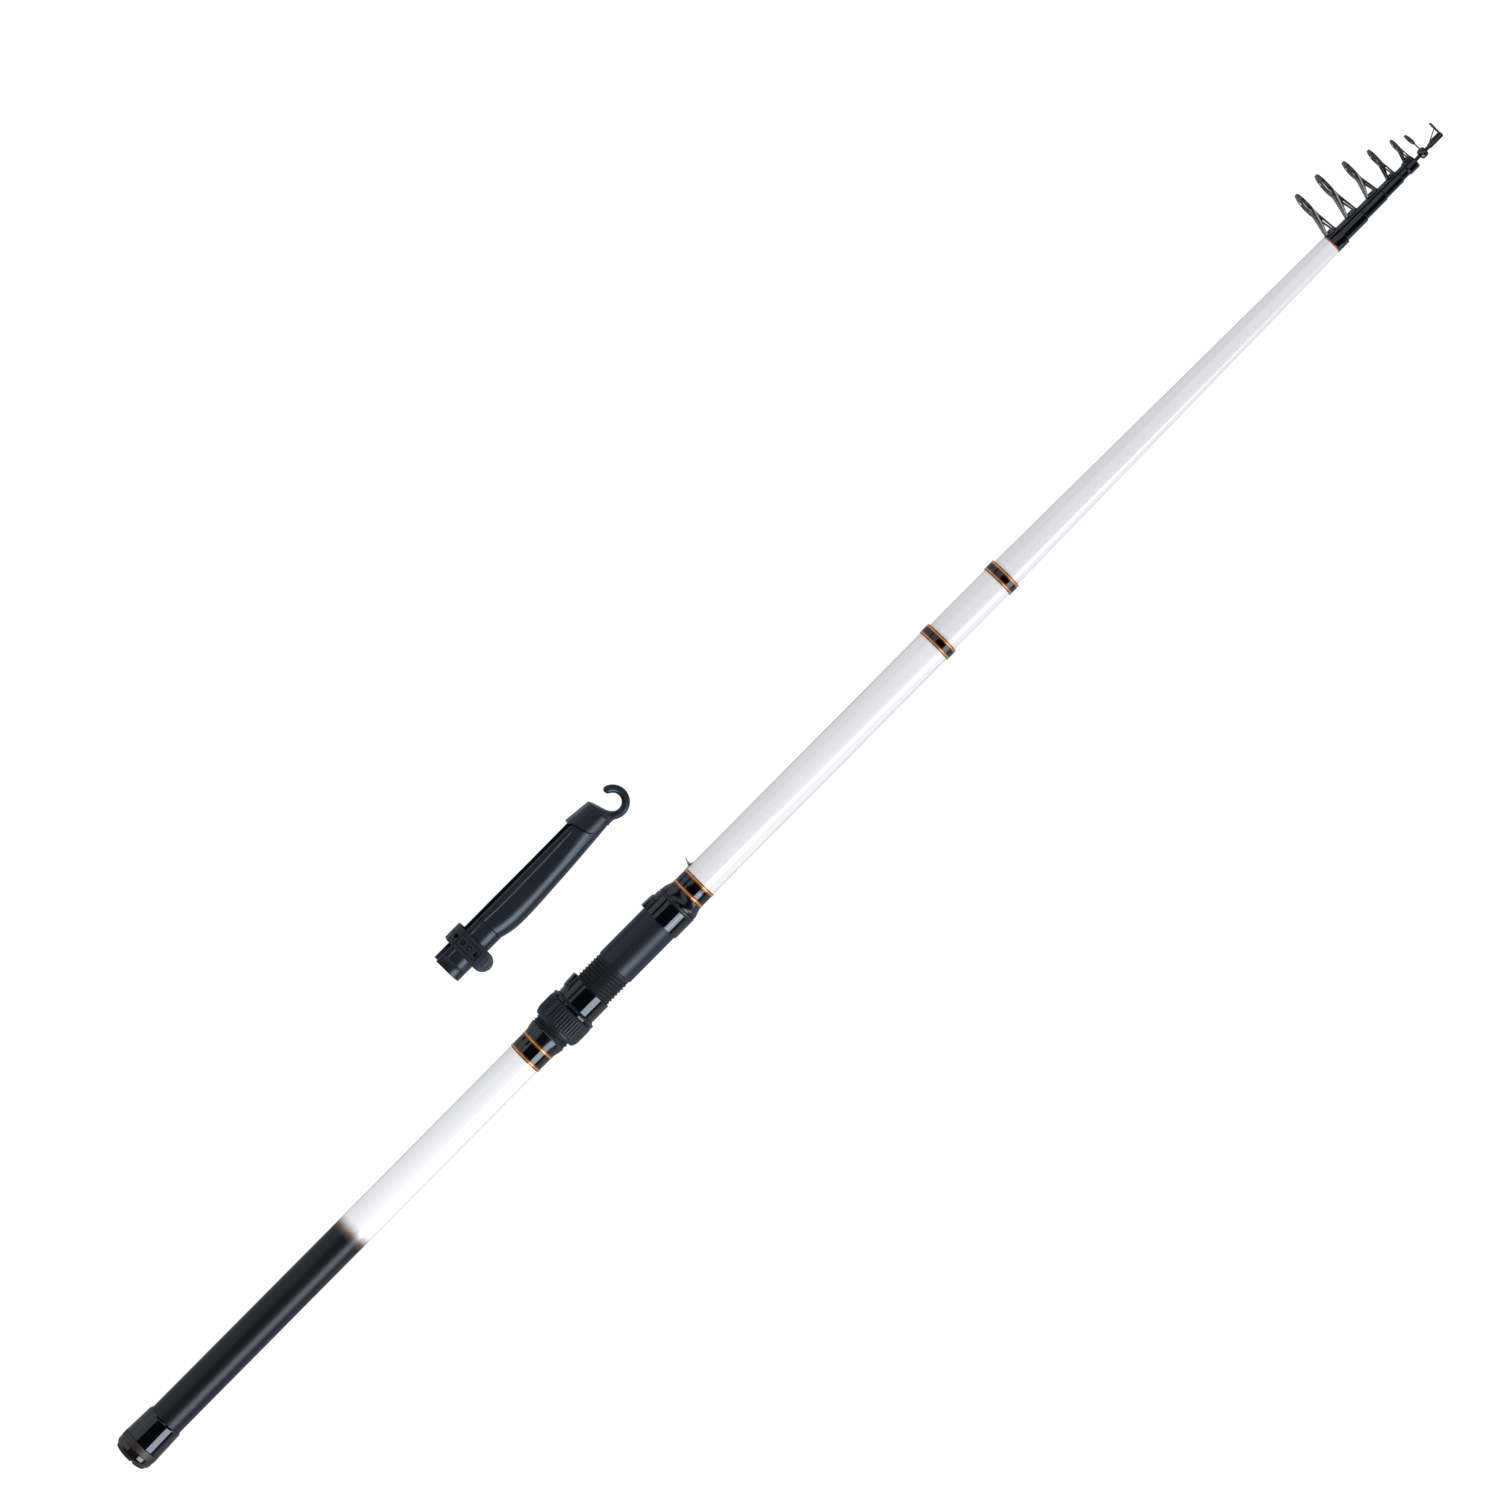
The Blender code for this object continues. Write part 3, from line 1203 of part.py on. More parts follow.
def make_tab(body):
    # In the hinge's own frame: Y towards the mouth, Z off the wall. The end at the hinge is round.
    half = STRAP_THICKNESS / 2
    end = TAB_LENGTH - TAB_WIDTH / 2
    distances = [0, TAB_FLAT_LENGTH]
    for i in range(6):
        distances.append(end + TAB_WIDTH / 2 * math.sin(math.radians(16 * i)))
    middle = []
    for distance in distances:
        share = max(distance - TAB_FLAT_LENGTH, 0) / (TAB_LENGTH - TAB_FLAT_LENGTH)
        middle.append((-distance, -TAB_DROP * share ** 2))
    outline = [(y, z + half) for y, z in middle]
    outline += [(y, z - half) for y, z in reversed(middle)]
    for i in range(1, 6):
        angle = -math.pi / 2 + math.pi * i / 6
        outline.append((half * math.cos(angle), half * math.sin(angle)))
    bm = prism(outline, 1)
    for vert in bm.verts:
        y, z, side = vert.co
        vert.co = (side * tab_half_width(-y), y, z)
    tab = add_piece("strap_tab", bm, body, "rubber")
    for i in range(3):
        cut(tab, strap_hole(0, Vector((-STRAP_FIRST_HOLE - i * STRAP_HOLE_PITCH, 0)), 0))


def make_stud(body):
    # The stud in the tab's middle hole.
    radius = STUD_DIAMETER / 2
    rounding = radius / 2
    bm = spun([
        (0, 0),
        (0, radius),
        (STUD_HEIGHT - rounding, radius),
        (STUD_HEIGHT, rounding),
        (STUD_HEIGHT, 0),
    ], 12)
    seat = wall_point(STRAP_HINGE_DISTANCE - STRAP_FIRST_HOLE - STRAP_HOLE_PITCH, FIT_GAP)
    turn = Matrix.Rotation(-COVER_LEAN, 4, "X") @ Matrix.Rotation(-math.pi / 2, 4, "Y")
    place = Matrix.Translation((STRAP_STATION, seat.x, seat.y)) @ turn
    bmesh.ops.transform(bm, matrix=place, verts=bm.verts)
    add_piece("strap_stud", bm, body, "matte_slate")


# The whole rod

def lowest_point(bodies):
    bpy.context.view_layer.update()
    heights = []
    for piece in bpy.data.objects:
        owner = piece
        while owner.parent and owner not in bodies:
            owner = owner.parent
        if piece.type == "MESH" and owner in bodies:
            heights += [(piece.matrix_world @ vert.co).z for vert in piece.data.vertices]
    return min(heights)


def place_on_floor(root, cover):
    # The rod and its cover both rest on z = 0, and the box of both is centred on the origin.
    cover.location.z -= lowest_point([cover])
    root.location.z -= lowest_point([root])
    bpy.context.view_layer.update()
    points = []
    for piece in bpy.data.objects:
        if piece.type == "MESH":
            points += [piece.matrix_world @ vert.co for vert in piece.data.vertices]
    for axis in (0, 1):
        middle = (min(p[axis] for p in points) + max(p[axis] for p in points)) / 2
        root.location[axis] -= middle
        cover.location[axis] -= middle
    bpy.context.view_layer.update()


def body_at(name, station, parent, height=0.0):
    origin = parent["station"] if parent else 0.0
    body = add_body(name, (station - origin, height, 0), parent)
    body["station"] = station
    return body


def main():
    clear_scene()
    rod = body_at("rod", 0.0, None)
    make_section_1(rod)
    barrel_start, seat_end = make_seat(rod)

    cap_slide = body_at("cap_slide", CAP_LENGTH, rod)
    cap_turn = body_at("cap_turn", 0.0, cap_slide)
    make_cap(cap_slide, cap_turn)

    nut_start = barrel_start + NUT_STATION_ON_BARREL
    hood_slide = body_at("hood_slide", nut_start + NUT_LENGTH, rod)
    nut_turn = body_at("nut_turn", nut_start, hood_slide)
    make_lock(hood_slide, nut_turn, barrel_start)

    keeper_start = seat_end + FIT_GAP
    keeper_station = keeper_start + KEEPER_FOOT_LENGTH / 2
    keeper_turn = body_at("keeper_turn", keeper_station, rod, keeper_axis_height())
    make_keeper(rod, keeper_turn, keeper_start)

    section_2 = body_at("section_2", SECTIONS_START, rod)
    make_section_2(section_2)
    section_3 = body_at("section_3", SECTIONS_START, section_2)
    make_section_3(section_3)
    section_4 = body_at("section_4", SECTIONS_START, section_3)
    make_section_4(section_4)
    make_tip_top(section_4)

    rear = MOUTH_3 + FIT_GAP
    for number, guide in enumerate((GUIDE_2, GUIDE_3, GUIDE_4, GUIDE_5), start=2):
        carrier = body_at(f"guide_{number}", rear, section_3)
        rear = make_floating_guide(number, guide, rear, carrier) + FIT_GAP
    bead_rear = rear + GUIDE_6_SPACE
    make_guide_6(GUIDE_6, bead_rear, body_at("guide_6", bead_rear, section_3))

    cover = add_body("cover", (COVER_STATION, COVER_OFFSET, 0))
    cover.rotation_euler.x = COVER_ROLL
    make_cover(cover)
    make_stud(cover)
    hinge = wall_point(STRAP_HINGE_DISTANCE, STRAP_LEVEL)
    tab_body = add_body("tab_turn", (STRAP_STATION, hinge.x, hinge.y), cover)
    tab_body.rotation_euler.x = -COVER_LEAN
    make_band(cover)
    make_tab(tab_body)
    place_on_floor(rod, cover)


main()
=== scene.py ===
import json
from math import atan2, cos, hypot, pi, radians, sin

import bpy
from mathutils import Matrix, Vector


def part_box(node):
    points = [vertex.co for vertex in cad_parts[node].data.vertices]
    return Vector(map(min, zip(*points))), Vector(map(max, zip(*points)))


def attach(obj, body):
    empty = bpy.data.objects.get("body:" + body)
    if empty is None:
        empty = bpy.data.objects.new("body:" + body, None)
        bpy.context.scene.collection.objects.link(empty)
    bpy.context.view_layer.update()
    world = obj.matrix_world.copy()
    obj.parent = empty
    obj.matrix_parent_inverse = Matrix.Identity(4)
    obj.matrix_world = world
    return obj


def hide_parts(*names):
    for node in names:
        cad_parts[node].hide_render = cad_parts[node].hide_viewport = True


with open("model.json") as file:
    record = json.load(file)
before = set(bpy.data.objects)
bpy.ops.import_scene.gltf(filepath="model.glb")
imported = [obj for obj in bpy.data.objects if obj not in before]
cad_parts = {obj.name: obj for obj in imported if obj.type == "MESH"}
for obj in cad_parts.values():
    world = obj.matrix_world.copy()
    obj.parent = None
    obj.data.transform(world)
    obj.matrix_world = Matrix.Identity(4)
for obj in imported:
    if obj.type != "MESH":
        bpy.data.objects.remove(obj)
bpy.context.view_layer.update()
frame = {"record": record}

# Telescopic surf rod, pushed together, with its tip cover beside it. Metres, the rod lies along X.
# The guides and the cover are on its +Y side.

record = frame["record"]
bodyOf = {node: body for body, nodes in record["behaviour"]["bodies"].items() for node in nodes}
barrelLow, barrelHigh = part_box("seat_barrel")
rodY = (barrelLow.y + barrelHigh.y) / 2
rodZ = (barrelLow.z + barrelHigh.z) / 2
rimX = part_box("butt_cap")[0].x


def span(node):
    # rear end, front end and outer radius of a round CAD node on the rod's axis
    low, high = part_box(node)
    return low.x, high.x, (high.y - low.y) / 2


def ends(node):
    # rear end and front end alone
    return span(node)[:2]


class Wire:
    # a socket that can be added, taken off, multiplied and divided: each sign adds a Math node
    def __init__(self, paint, socket):
        self.paint = paint
        self.socket = socket

    def math(self, operation, first, second):
        return self.paint.node("ShaderNodeMath", {"operation": operation}, {0: first, 1: second})

    def __add__(self, other):
        return self.math("ADD", self, other)

    def __sub__(self, other):
        return self.math("SUBTRACT", self, other)

    def __rsub__(self, other):
        return self.math("SUBTRACT", other, self)

    def __mul__(self, other):
        return self.math("MULTIPLY", self, other)

    def __truediv__(self, other):
        return self.math("DIVIDE", self, other)

    __radd__ = __add__
    __rmul__ = __mul__


socketNames = {
    "colour": "Base Color", "metallic": "Metallic", "roughness": "Roughness", "normal": "Normal", "ior": "IOR",
    "specular": "Specular IOR Level", "tint": "Specular Tint", "coat": "Coat Weight",
    "coatRoughness": "Coat Roughness", "coatIor": "Coat IOR",
}


class Paint:
    # the nodes of one material, or of the world
    def __init__(self, name, kind="materials", shader="Principled BSDF", **fixed):
        self.owner = getattr(bpy.data, kind).new(name)
        self.owner.use_nodes = True
        self.tree = self.owner.node_tree
        self.shader = self.tree.nodes[shader]
        self.set(**fixed)

    def set(self, **values):
        for name, value in values.items():
            self.put(self.shader.inputs[socketNames[name]], value)
        return self.owner

    def put(self, socket, value):
        if isinstance(value, Wire):
            self.tree.links.new(value.socket, socket)
        elif socket.type == "RGBA":
            socket.default_value = (*value, 1)
        else:
            socket.default_value = value

    def node(self, kind, settings, sockets, out=0):
        node = self.tree.nodes.new(kind)
        for key, value in settings.items():
            if key == "stops":
                ramp = node.color_ramp
                while len(ramp.elements) < len(value):
                    ramp.elements.new(0.5)
                for element, (place, colour) in zip(ramp.elements, value):
                    element.position = place
                    element.color = (*colour, 1)
            else:
                setattr(node, key, value)
        for key, value in sockets.items():
            self.put(node.inputs[key], value)
        return Wire(self, node.outputs[out])

    def alongRod(self):
        here = self.node("ShaderNodeTexCoord", {}, {}, 3)
        return self.node("ShaderNodeSeparateXYZ", {}, {0: here})

    def noise(self, scale, detail):
        here = self.node("ShaderNodeTexCoord", {}, {}, 3)
        return self.node("ShaderNodeTexNoise", {}, {"Vector": here, "Scale": scale, "Detail": detail})

    def ramp(self, factor, stops):
        return self.node("ShaderNodeValToRGB", {"stops": stops}, {0: factor})

    def share(self, value, low, high, blend="LINEAR"):
        return self.node("ShaderNodeMapRange", {"interpolation_type": blend}, {
            "Value": value, "From Min": low, "From Max": high})

    def blend(self, factor, first, second):
        return self.node("ShaderNodeMix", {"data_type": "RGBA"}, {0: factor, 6: first, 7: second}, 2)

    def attribute(self, name):
        return self.node("ShaderNodeAttribute", {"attribute_name": name}, {}, 2)

    def rays(self):
        # whether a camera, a glossy or a transmission ray asks
        return [self.node("ShaderNodeLightPath", {}, {}, ray) for ray in (0, 3, 6)]

    def bump(self, height, strength, distance=0.00006):
        return self.node("ShaderNodeBump", {}, {"Strength": strength, "Distance": distance, "Height": height})


inkDark, inkLight = (0.0008, 0.0009, 0.0013), (0.0018, 0.0020, 0.0026)
blueTint = (0.76, 0.85, 1.0)


def glossPaint(name, dark, light, roughness, spread, cloud, wear, grain=(), relief=(0.05, 0.00006), **fixed):
    # a clouded colour, an uneven polish and a faint relief; a noise is its scale and detail
    paint = Paint(name, **fixed)
    if grain:
        paint.set(normal=paint.bump(paint.noise(*grain), *relief))
    return paint.set(colour=paint.blend(paint.noise(*cloud), dark, light),
                     roughness=roughness + paint.noise(*wear) * spread)


def lacquerPaint(name, roughness):
    # clear gloss over a dark ground, with a faint orange peel and a few dull patches
    return glossPaint(name, inkDark, inkLight, roughness, 0.04, (38, 3), (95, 4), (420, 2),
                      ior=1.6, specular=1.0, tint=blueTint)


def mouldedPaint(name, dark, light, roughness, grain=900, relief=0.12, distance=0.00012, cloud=26, wear=60,
                 spread=0.12, shadeMark="groove", dull=0.36, black=(0.0012, 0.0016, 0.0024), specular=0.8):
    # moulded plastic or rubber: fine sparks of grain, a slow change of tone, worn patches; painted shade, a dull
    # black, in the marked grooves and hollows
    paint = Paint(name, specular=specular, tint=(0.72, 0.83, 1.0))
    fine = paint.noise(grain, 3)
    # the mark picks out grooves and hollows, which take painted shade in near black
    share = paint.attribute(shadeMark)
    shade = paint.blend(paint.noise(cloud, 4) * 0.7 + fine * 0.3, dark, light)
    return paint.set(colour=paint.blend(share, shade, black),
                     roughness=roughness - spread / 2 + paint.noise(wear, 5) * spread + share * dull,
                     normal=paint.bump(fine, relief, distance))


def threadPaint(name, middle, edge):
    # metallic thread wound round the blank under clear epoxy, darker red at both edges
    paint = Paint(name, metallic=0.6, coat=1.0, coatRoughness=0.03)
    across = paint.attribute("across")
    fibre = paint.node("ShaderNodeMath", {"operation": "SINE"}, {0: across * 50.0})
    uneven = paint.noise(260, 2)
    dull = tuple(value * 0.30 for value in middle)
    colour = paint.ramp(across + (uneven - 0.5) * 0.10, [
        (0.0, edge), (0.20, edge), (0.30, dull), (0.42, middle), (0.60, middle), (0.72, dull), (0.80, edge),
        (1.0, edge)])
    return paint.set(colour=colour, roughness=0.24 + uneven * 0.08, normal=paint.bump(fibre, 0.35, 0.00005))


def pick(piece=None):
    # nothing is selected but this piece
    if bpy.context.object and bpy.context.object.mode != "OBJECT":
        bpy.ops.object.mode_set(mode="OBJECT")
    bpy.ops.object.select_all(action="DESELECT")
    if piece:
        bpy.context.view_layer.objects.active = piece
        piece.select_set(True)


def skin(piece, weld=0, smooth=None):
    # welds points that touch, turns the faces outward and shades them
    pick(piece)
    bpy.ops.object.mode_set(mode="EDIT")
    bpy.ops.mesh.select_all(action="SELECT")
    if weld:
        bpy.ops.mesh.remove_doubles(threshold=weld)
    bpy.ops.mesh.normals_make_consistent(inside=False)
    bpy.ops.object.mode_set(mode="OBJECT")
    if smooth:
        bpy.ops.object.shade_smooth_by_angle(angle=radians(smooth))
    return piece


def modify(piece, kind, **settings):
    modifier = piece.modifiers.new("change", kind)
    for name, value in settings.items():
        setattr(modifier, name, value)
    pick(piece)
    bpy.ops.object.modifier_apply(modifier="change")
    return piece


def cutAway(piece, tool):
    modify(piece, "BOOLEAN", operation="DIFFERENCE", solver="EXACT", object=tool)
    bpy.ops.object.shade_smooth_by_angle(angle=radians(35))
    bpy.data.objects.remove(tool, do_unlink=True)


def punch(piece, place, radius, depth=0.008, sides=40):
    # a round hole along the Z of a place
    pick()
    bpy.ops.mesh.primitive_cylinder_add(vertices=sides, radius=radius, depth=depth)
    tool = bpy.context.object
    tool.data.transform(place)
    cutAway(piece, tool)


def joinAll(name, pieces):
    pick(pieces[0])
    for piece in pieces:
        piece.select_set(True)
    bpy.ops.object.join()
    pieces[0].name = name
    return pieces[0]


def mark(piece, name, values):
    # a number on each point, which the paint reads
    piece.data.attributes.new(name, "FLOAT", "POINT").data.foreach_set("value", [float(value) for value in values])


def polar(vert):
    # angle from +Y towards +Z and distance from the rod's axis
    return atan2(vert.co.z - rodZ, vert.co.y - rodY), hypot(vert.co.y - rodY, vert.co.z - rodZ)


def setRadius(vert, angle, radius):
    vert.co.y = rodY + radius * cos(angle)
    vert.co.z = rodZ + radius * sin(angle)


def ease(value, low, high):
    # 0 below low, 1 above high, a soft step between
    t = min(max((value - low) / (high - low), 0), 1)
    return t * t * (3 - 2 * t)


def rounded(corners, steps=4):
    # an outline of (x, radius) or (x, radius, rounding) corners, with its corners rounded
    outline = []
    for i, corner in enumerate(corners):
        here = Vector(corner[:2])
        if len(corner) < 3:
            outline.append(tuple(here))
            continue
        back = Vector(corners[i - 1][:2]) - here
        ahead = Vector(corners[(i + 1) % len(corners)][:2]) - here
        start = here + back.normalized() * min(corner[2], back.length * 0.48)
        end = here + ahead.normalized() * min(corner[2], ahead.length * 0.48)
        for k in range(steps + 1):
            t = k / steps
            outline.append(tuple(start * (1 - t) ** 2 + here * 2 * t * (1 - t) + end * t * t))
    return outline


def curveThrough(points, steps=6):
    # a smooth line through (x, radius) points
    line = []
    for i in range(len(points) - 1):
        p0, p1 = Vector(points[max(i - 1, 0)]), Vector(points[i])
        p2, p3 = Vector(points[i + 1]), Vector(points[min(i + 2, len(points) - 1)])
        for k in range(steps):
            t = k / steps
            line.append(tuple(0.5 * (2 * p1 + (p2 - p0) * t + (2 * p0 - 5 * p1 + 4 * p2 - p3) * t ** 2
                                     + (3 * p1 - p0 - 3 * p2 + p3) * t ** 3)))
    return line + [tuple(points[-1])]


def lathe(name, corners, sides=96, smooth=35, axis=None):
    # draws the outline beside the rod's axis and spins it once round
    outline = rounded(corners)
    y, z = axis or (rodY, rodZ)
    pick()
    bpy.ops.mesh.primitive_plane_add(size=0.001, enter_editmode=True)
    piece = bpy.context.object
    piece.name = name
    bpy.ops.mesh.merge(type="CENTER")
    bpy.ops.transform.translate(value=(outline[0][0], y + outline[0][1], z))
    closed = outline[0][1] > 1e-7 or outline[-1][1] > 1e-7
    for (x0, r0), (x1, r1) in zip(outline, outline[1:] + outline[:1] * closed):
        bpy.ops.mesh.extrude_vertices_move(TRANSFORM_OT_translate={"value": (x1 - x0, r1 - r0, 0)})
    bpy.ops.mesh.select_all(action="SELECT")
    bpy.ops.mesh.remove_doubles(threshold=1e-7)
    bpy.ops.mesh.spin(steps=sides, angle=2 * pi, center=(0, y, z), axis=(1, 0, 0))
    return skin(piece, 1e-6, smooth)


def settle(piece, node, material):
    # paints a finished piece and puts it on the body of the CAD node that it stands for
    piece.data.materials.clear()
    piece.data.materials.append(material)
    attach(piece, bodyOf[node])
    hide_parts(node)
    return piece


def evenShade(piece):
    # the large faces keep their own shading beside a narrow rounded edge
    return modify(piece, "WEIGHTED_NORMAL", keep_sharp=True)


def turned(name, node, corners, material, sides=96, smooth=35):
    return settle(evenShade(lathe(name, corners, sides, smooth)), node, material)


def barLamp(name, start, end, width, radiance, colour):
    # a rectangular lamp between two ends, turned to the rod; places are from the middle of the rod's axis
    start, end = Vector(start), Vector(end)
    middle = (start + end) / 2
    side = (end - start).normalized()
    up = Vector((0, middle.y, middle.z)).normalized().cross(side).normalized()
    data = bpy.data.lights.new(name, "AREA")
    data.shape = "RECTANGLE"
    data.size = (end - start).length
    data.size_y = width
    data.energy = radiance * data.size * width * pi
    data.color = colour
    lamp = bpy.data.objects.new(name, data)
    lamp.location = middle + Vector((0, rodY, rodZ))
    lamp.rotation_euler = Matrix((side, up, side.cross(up))).transposed().to_euler()
    lamp.visible_camera = False
    bpy.context.scene.collection.objects.link(lamp)


def around(x, angle, distance):
    # a place beside the rod: 0 degrees is overhead, positive angles are on the plain side
    return (x, -distance * sin(radians(angle)), distance * cos(radians(angle)))


print("studio")
studio = {
    "cameraHeight": 3.64, "cameraX": 0.0055, "cameraY": -0.0005, "cameraTurn": -45.24, "lens": 112.7,
    "strip": 3.7, "front": 2.0, "fill": 0.44, "key": (0.97, 0.985, 1.0), "cool": (0.90, 0.96, 1.0),
    "floorSize": 7.0, "floorWhite": 0.86, "floorShare": 0.86, "floorLevel": 1.10, "floorGloss": 0.36,
    "ambient": 0.77,
}
barLamp("strip", around(-1.75, 52, 2.2), around(-0.06, 54, 2.2), 1.40, studio["strip"], studio["key"])
barLamp("front", (-0.08, -2.0, 1.79), (0.68, -2.0, -0.11), 0.6, studio["front"], studio["key"])
barLamp("fill", around(-2.2, -76, 2.6), around(2.0, -76, 2.6), 1.3, studio["fill"], studio["cool"])
barLamp("rearFill", (-2.4, 2.2, 2.0), (-0.45, 2.2, 2.0), 1.5, studio["fill"], studio["cool"])
barLamp("roof", (-0.27, 2.38, 2.0), (1.91, -1.08, 2.0), 1.2, studio["fill"], studio["cool"])

pick()
bpy.ops.mesh.primitive_plane_add(size=studio["floorSize"], location=(0, 0, 0))
floor = bpy.context.object
floor.name = "floor"
paint = Paint("floorPaint", colour=(studio["floorWhite"],) * 3, roughness=0.9)
cameraRay, glossyRay, throughRay = paint.rays()
level = paint.blend(glossyRay + throughRay, (studio["floorLevel"],) * 3, (studio["floorGloss"],) * 3)
mixed = paint.node("ShaderNodeMixShader", {}, {
    0: cameraRay * studio["floorShare"] + glossyRay + throughRay,
    1: Wire(paint, paint.shader.outputs[0]), 2: paint.node("ShaderNodeEmission", {}, {"Color": level})})
paint.put(paint.tree.nodes["Material Output"].inputs[0], mixed)
floor.data.materials.append(paint.owner)

sky = Paint("studio", "worlds", "Background")
bpy.context.scene.world = sky.owner
cameraRay, glossyRay, throughRay = sky.rays()
height = sky.node("ShaderNodeSeparateXYZ", {}, {0: sky.node("ShaderNodeTexCoord", {}, {}, 0)}, 2)
wall = sky.ramp(height, [(0.0, (0.10, 0.11, 0.12)), (0.2, (0.04, 0.045, 0.05)), (0.6, (0.004, 0.005, 0.006))])
seen = sky.blend(cameraRay, wall, (1, 1, 1))
sky.put(sky.shader.inputs["Color"],
        sky.blend(cameraRay + glossyRay + throughRay, (studio["ambient"],) * 3, seen))

cameraData = bpy.data.cameras.new("camera")
cameraData.sensor_width = 36
cameraData.lens = studio["lens"]
camera = bpy.data.objects.new("camera", cameraData)
camera.location = (studio["cameraX"], studio["cameraY"], rodZ + studio["cameraHeight"])
camera.rotation_euler = (0, 0, radians(studio["cameraTurn"]))
bpy.context.scene.collection.objects.link(camera)
bpy.context.scene.camera = camera
bpy.context.scene.view_settings.view_transform = "Standard"


print("blanks")
# ferruleEnd, taperEnd, fadeStart, frontStart and frontEnd are distances from the rim of the butt cap
blank = {
    "buttRadius": 0.01445, "radius": 0.0143, "bore": 0.01375, "ferruleEnd": 0.0375, "taperEnd": 0.215,
    "lip": 0.00022, "fadeStart": 0.2350, "fadeLength": 0.0160, "frontStart": 0.28, "frontEnd": 0.62,
    "black": ((0.0030, 0.0045, 0.0085), (0.0060, 0.0085, 0.0140)),
    "brown": ((0.105, 0.068, 0.050), (0.135, 0.095, 0.072)),
    "rear": ((0.85, 0.84, 0.865), (0.90, 0.89, 0.915)),
    "front": ((0.725, 0.715, 0.745), (0.785, 0.775, 0.80)),
    "pearl": ((0.69, 0.68, 0.71), (0.75, 0.74, 0.77)),
}


def blankPaint():
    # satin black to a quarter of a metre, then sprayed over into glossy pearl white
    paint = Paint("blankPaint", specular=0.6, tint=(0.78, 0.88, 1.0), coatIor=1.6, coatRoughness=0.06)
    along = paint.alongRod() - rimX + (paint.noise(1500, 3) - 0.5) * 0.0040 + (paint.noise(70, 2) - 0.5) * 0.0030
    fade = (along - blank["fadeStart"]) / blank["fadeLength"]
    cloud = paint.noise(30, 3)
    black, brown, rear, front = (paint.blend(cloud, *blank[name]) for name in ("black", "brown", "rear", "front"))
    # the white is painted lighter at the rear than at the front: a painted gradient of light along the tube
    white = paint.blend(paint.share(along, blank["frontStart"], blank["frontEnd"]), rear, front)
    lower = paint.share(fade, 0.0, 0.5, "SMOOTHSTEP")
    upper = paint.share(fade, 0.30, 1.0, "SMOOTHSTEP")
    return paint.set(colour=paint.blend(upper, paint.blend(lower, black, brown), white), coat=upper,
                     roughness=0.33 - upper * 0.21 + paint.noise(120, 3) * 0.03,
                     normal=paint.bump(paint.noise(520, 2), 0.05))


pearlFinish = glossPaint("pearlPaint", *blank["pearl"], 0.08, 0.03, (30, 3), (120, 3), (520, 2),
                         ior=1.6, specular=1.0)
rear, front = ends("section_1_tube")
turned("buttBlank", "section_1_tube", [
    (rear, blank["buttRadius"]),
    (rimX + blank["ferruleEnd"], blank["buttRadius"]),
    (rimX + blank["taperEnd"], blank["radius"]),
    (front, blank["radius"], blank["lip"]),
    (front, blank["bore"], blank["lip"]),
    (rear, blank["bore"]),
], blankPaint(), 128)

second = {"radius": 0.01345, "bore": 0.0129}
rear, secondFront = ends("section_2_tube")
turned("middleBlank", "section_2_tube", [
    (rear, second["radius"]), (secondFront, second["radius"], blank["lip"]),
    (secondFront, second["bore"], blank["lip"]), (rear, second["bore"])], pearlFinish, 128)

third = {
    "radius": 0.0126, "bore": 0.0118, "frontRadius": 0.0082, "seatRadius": 0.0073, "mouthBore": 0.0065,
    "wall": 0.0008, "overlap": 0.118,
}
rear, front = ends("section_3_tube")
step = span("tip_wrap_trim")[0] - 0.0003
flare = front - third["overlap"]
flareShare = (flare - secondFront) / (step - secondFront)
flareBore = third["radius"] + (third["frontRadius"] - third["radius"]) * flareShare - third["wall"]
turned("frontBlank", "section_3_tube", [
    (rear, third["radius"]),
    (secondFront, third["radius"]),
    (step, third["frontRadius"], blank["lip"]),
    (step, third["seatRadius"]),
    (front, third["seatRadius"]),
    (front, third["mouthBore"]),
    (flare, flareBore),
    (secondFront, third["bore"]),
    (rear, third["bore"]),
], pearlFinish, 128)

glossFinish = lacquerPaint("glossBlack", 0.05)
tip = {"mouthRadius": 0.0062, "tipRadius": 0.0014, "wall": 0.0010, "hollow": 1.0, "gap": 0.0003}
rear, front = ends("section_4_blank")
neck = rear + third["overlap"]
base = flareBore - tip["gap"]
turned("tipBlank", "section_4_blank", [
    (rear + tip["hollow"], 0),
    (neck, tip["mouthRadius"] - tip["wall"]),
    (rear, base - tip["wall"]),
    (rear, base, blank["lip"]),
    (neck, tip["mouthRadius"]),
    (front, tip["tipRadius"]),
    (front, 0),
], glossFinish, 64)


print("bands")
goldFinish = threadPaint("goldThread", (0.80, 0.46, 0.10), (0.34, 0.012, 0.008))
copperFinish = threadPaint("copperThread", (0.80, 0.22, 0.06), (0.60, 0.12, 0.03))
band = {"bore": 0.0146, "tipBore": 0.0076, "edge": 0.00012, "wrapEdge": 0.00018, "overlap": 0.00016, "gap": 0.0003}


def wound(name, node, bore, material, edge, crown=0.0):
    # a band with rounded edges and a slightly crowned middle, as epoxy leaves it
    rear, front, outer = span(node)
    rear, front = rear - band["overlap"], front + band["overlap"]
    piece = lathe(name, [
        (rear, outer - crown, edge), ((rear + front) / 2, outer, (front - rear) * 0.2),
        (front, outer - crown, edge), (front, bore), (rear, bore)])
    mark(piece, "across", [(vert.co.x - rear) / (front - rear) for vert in piece.data.vertices])
    settle(evenShade(piece), node, material)


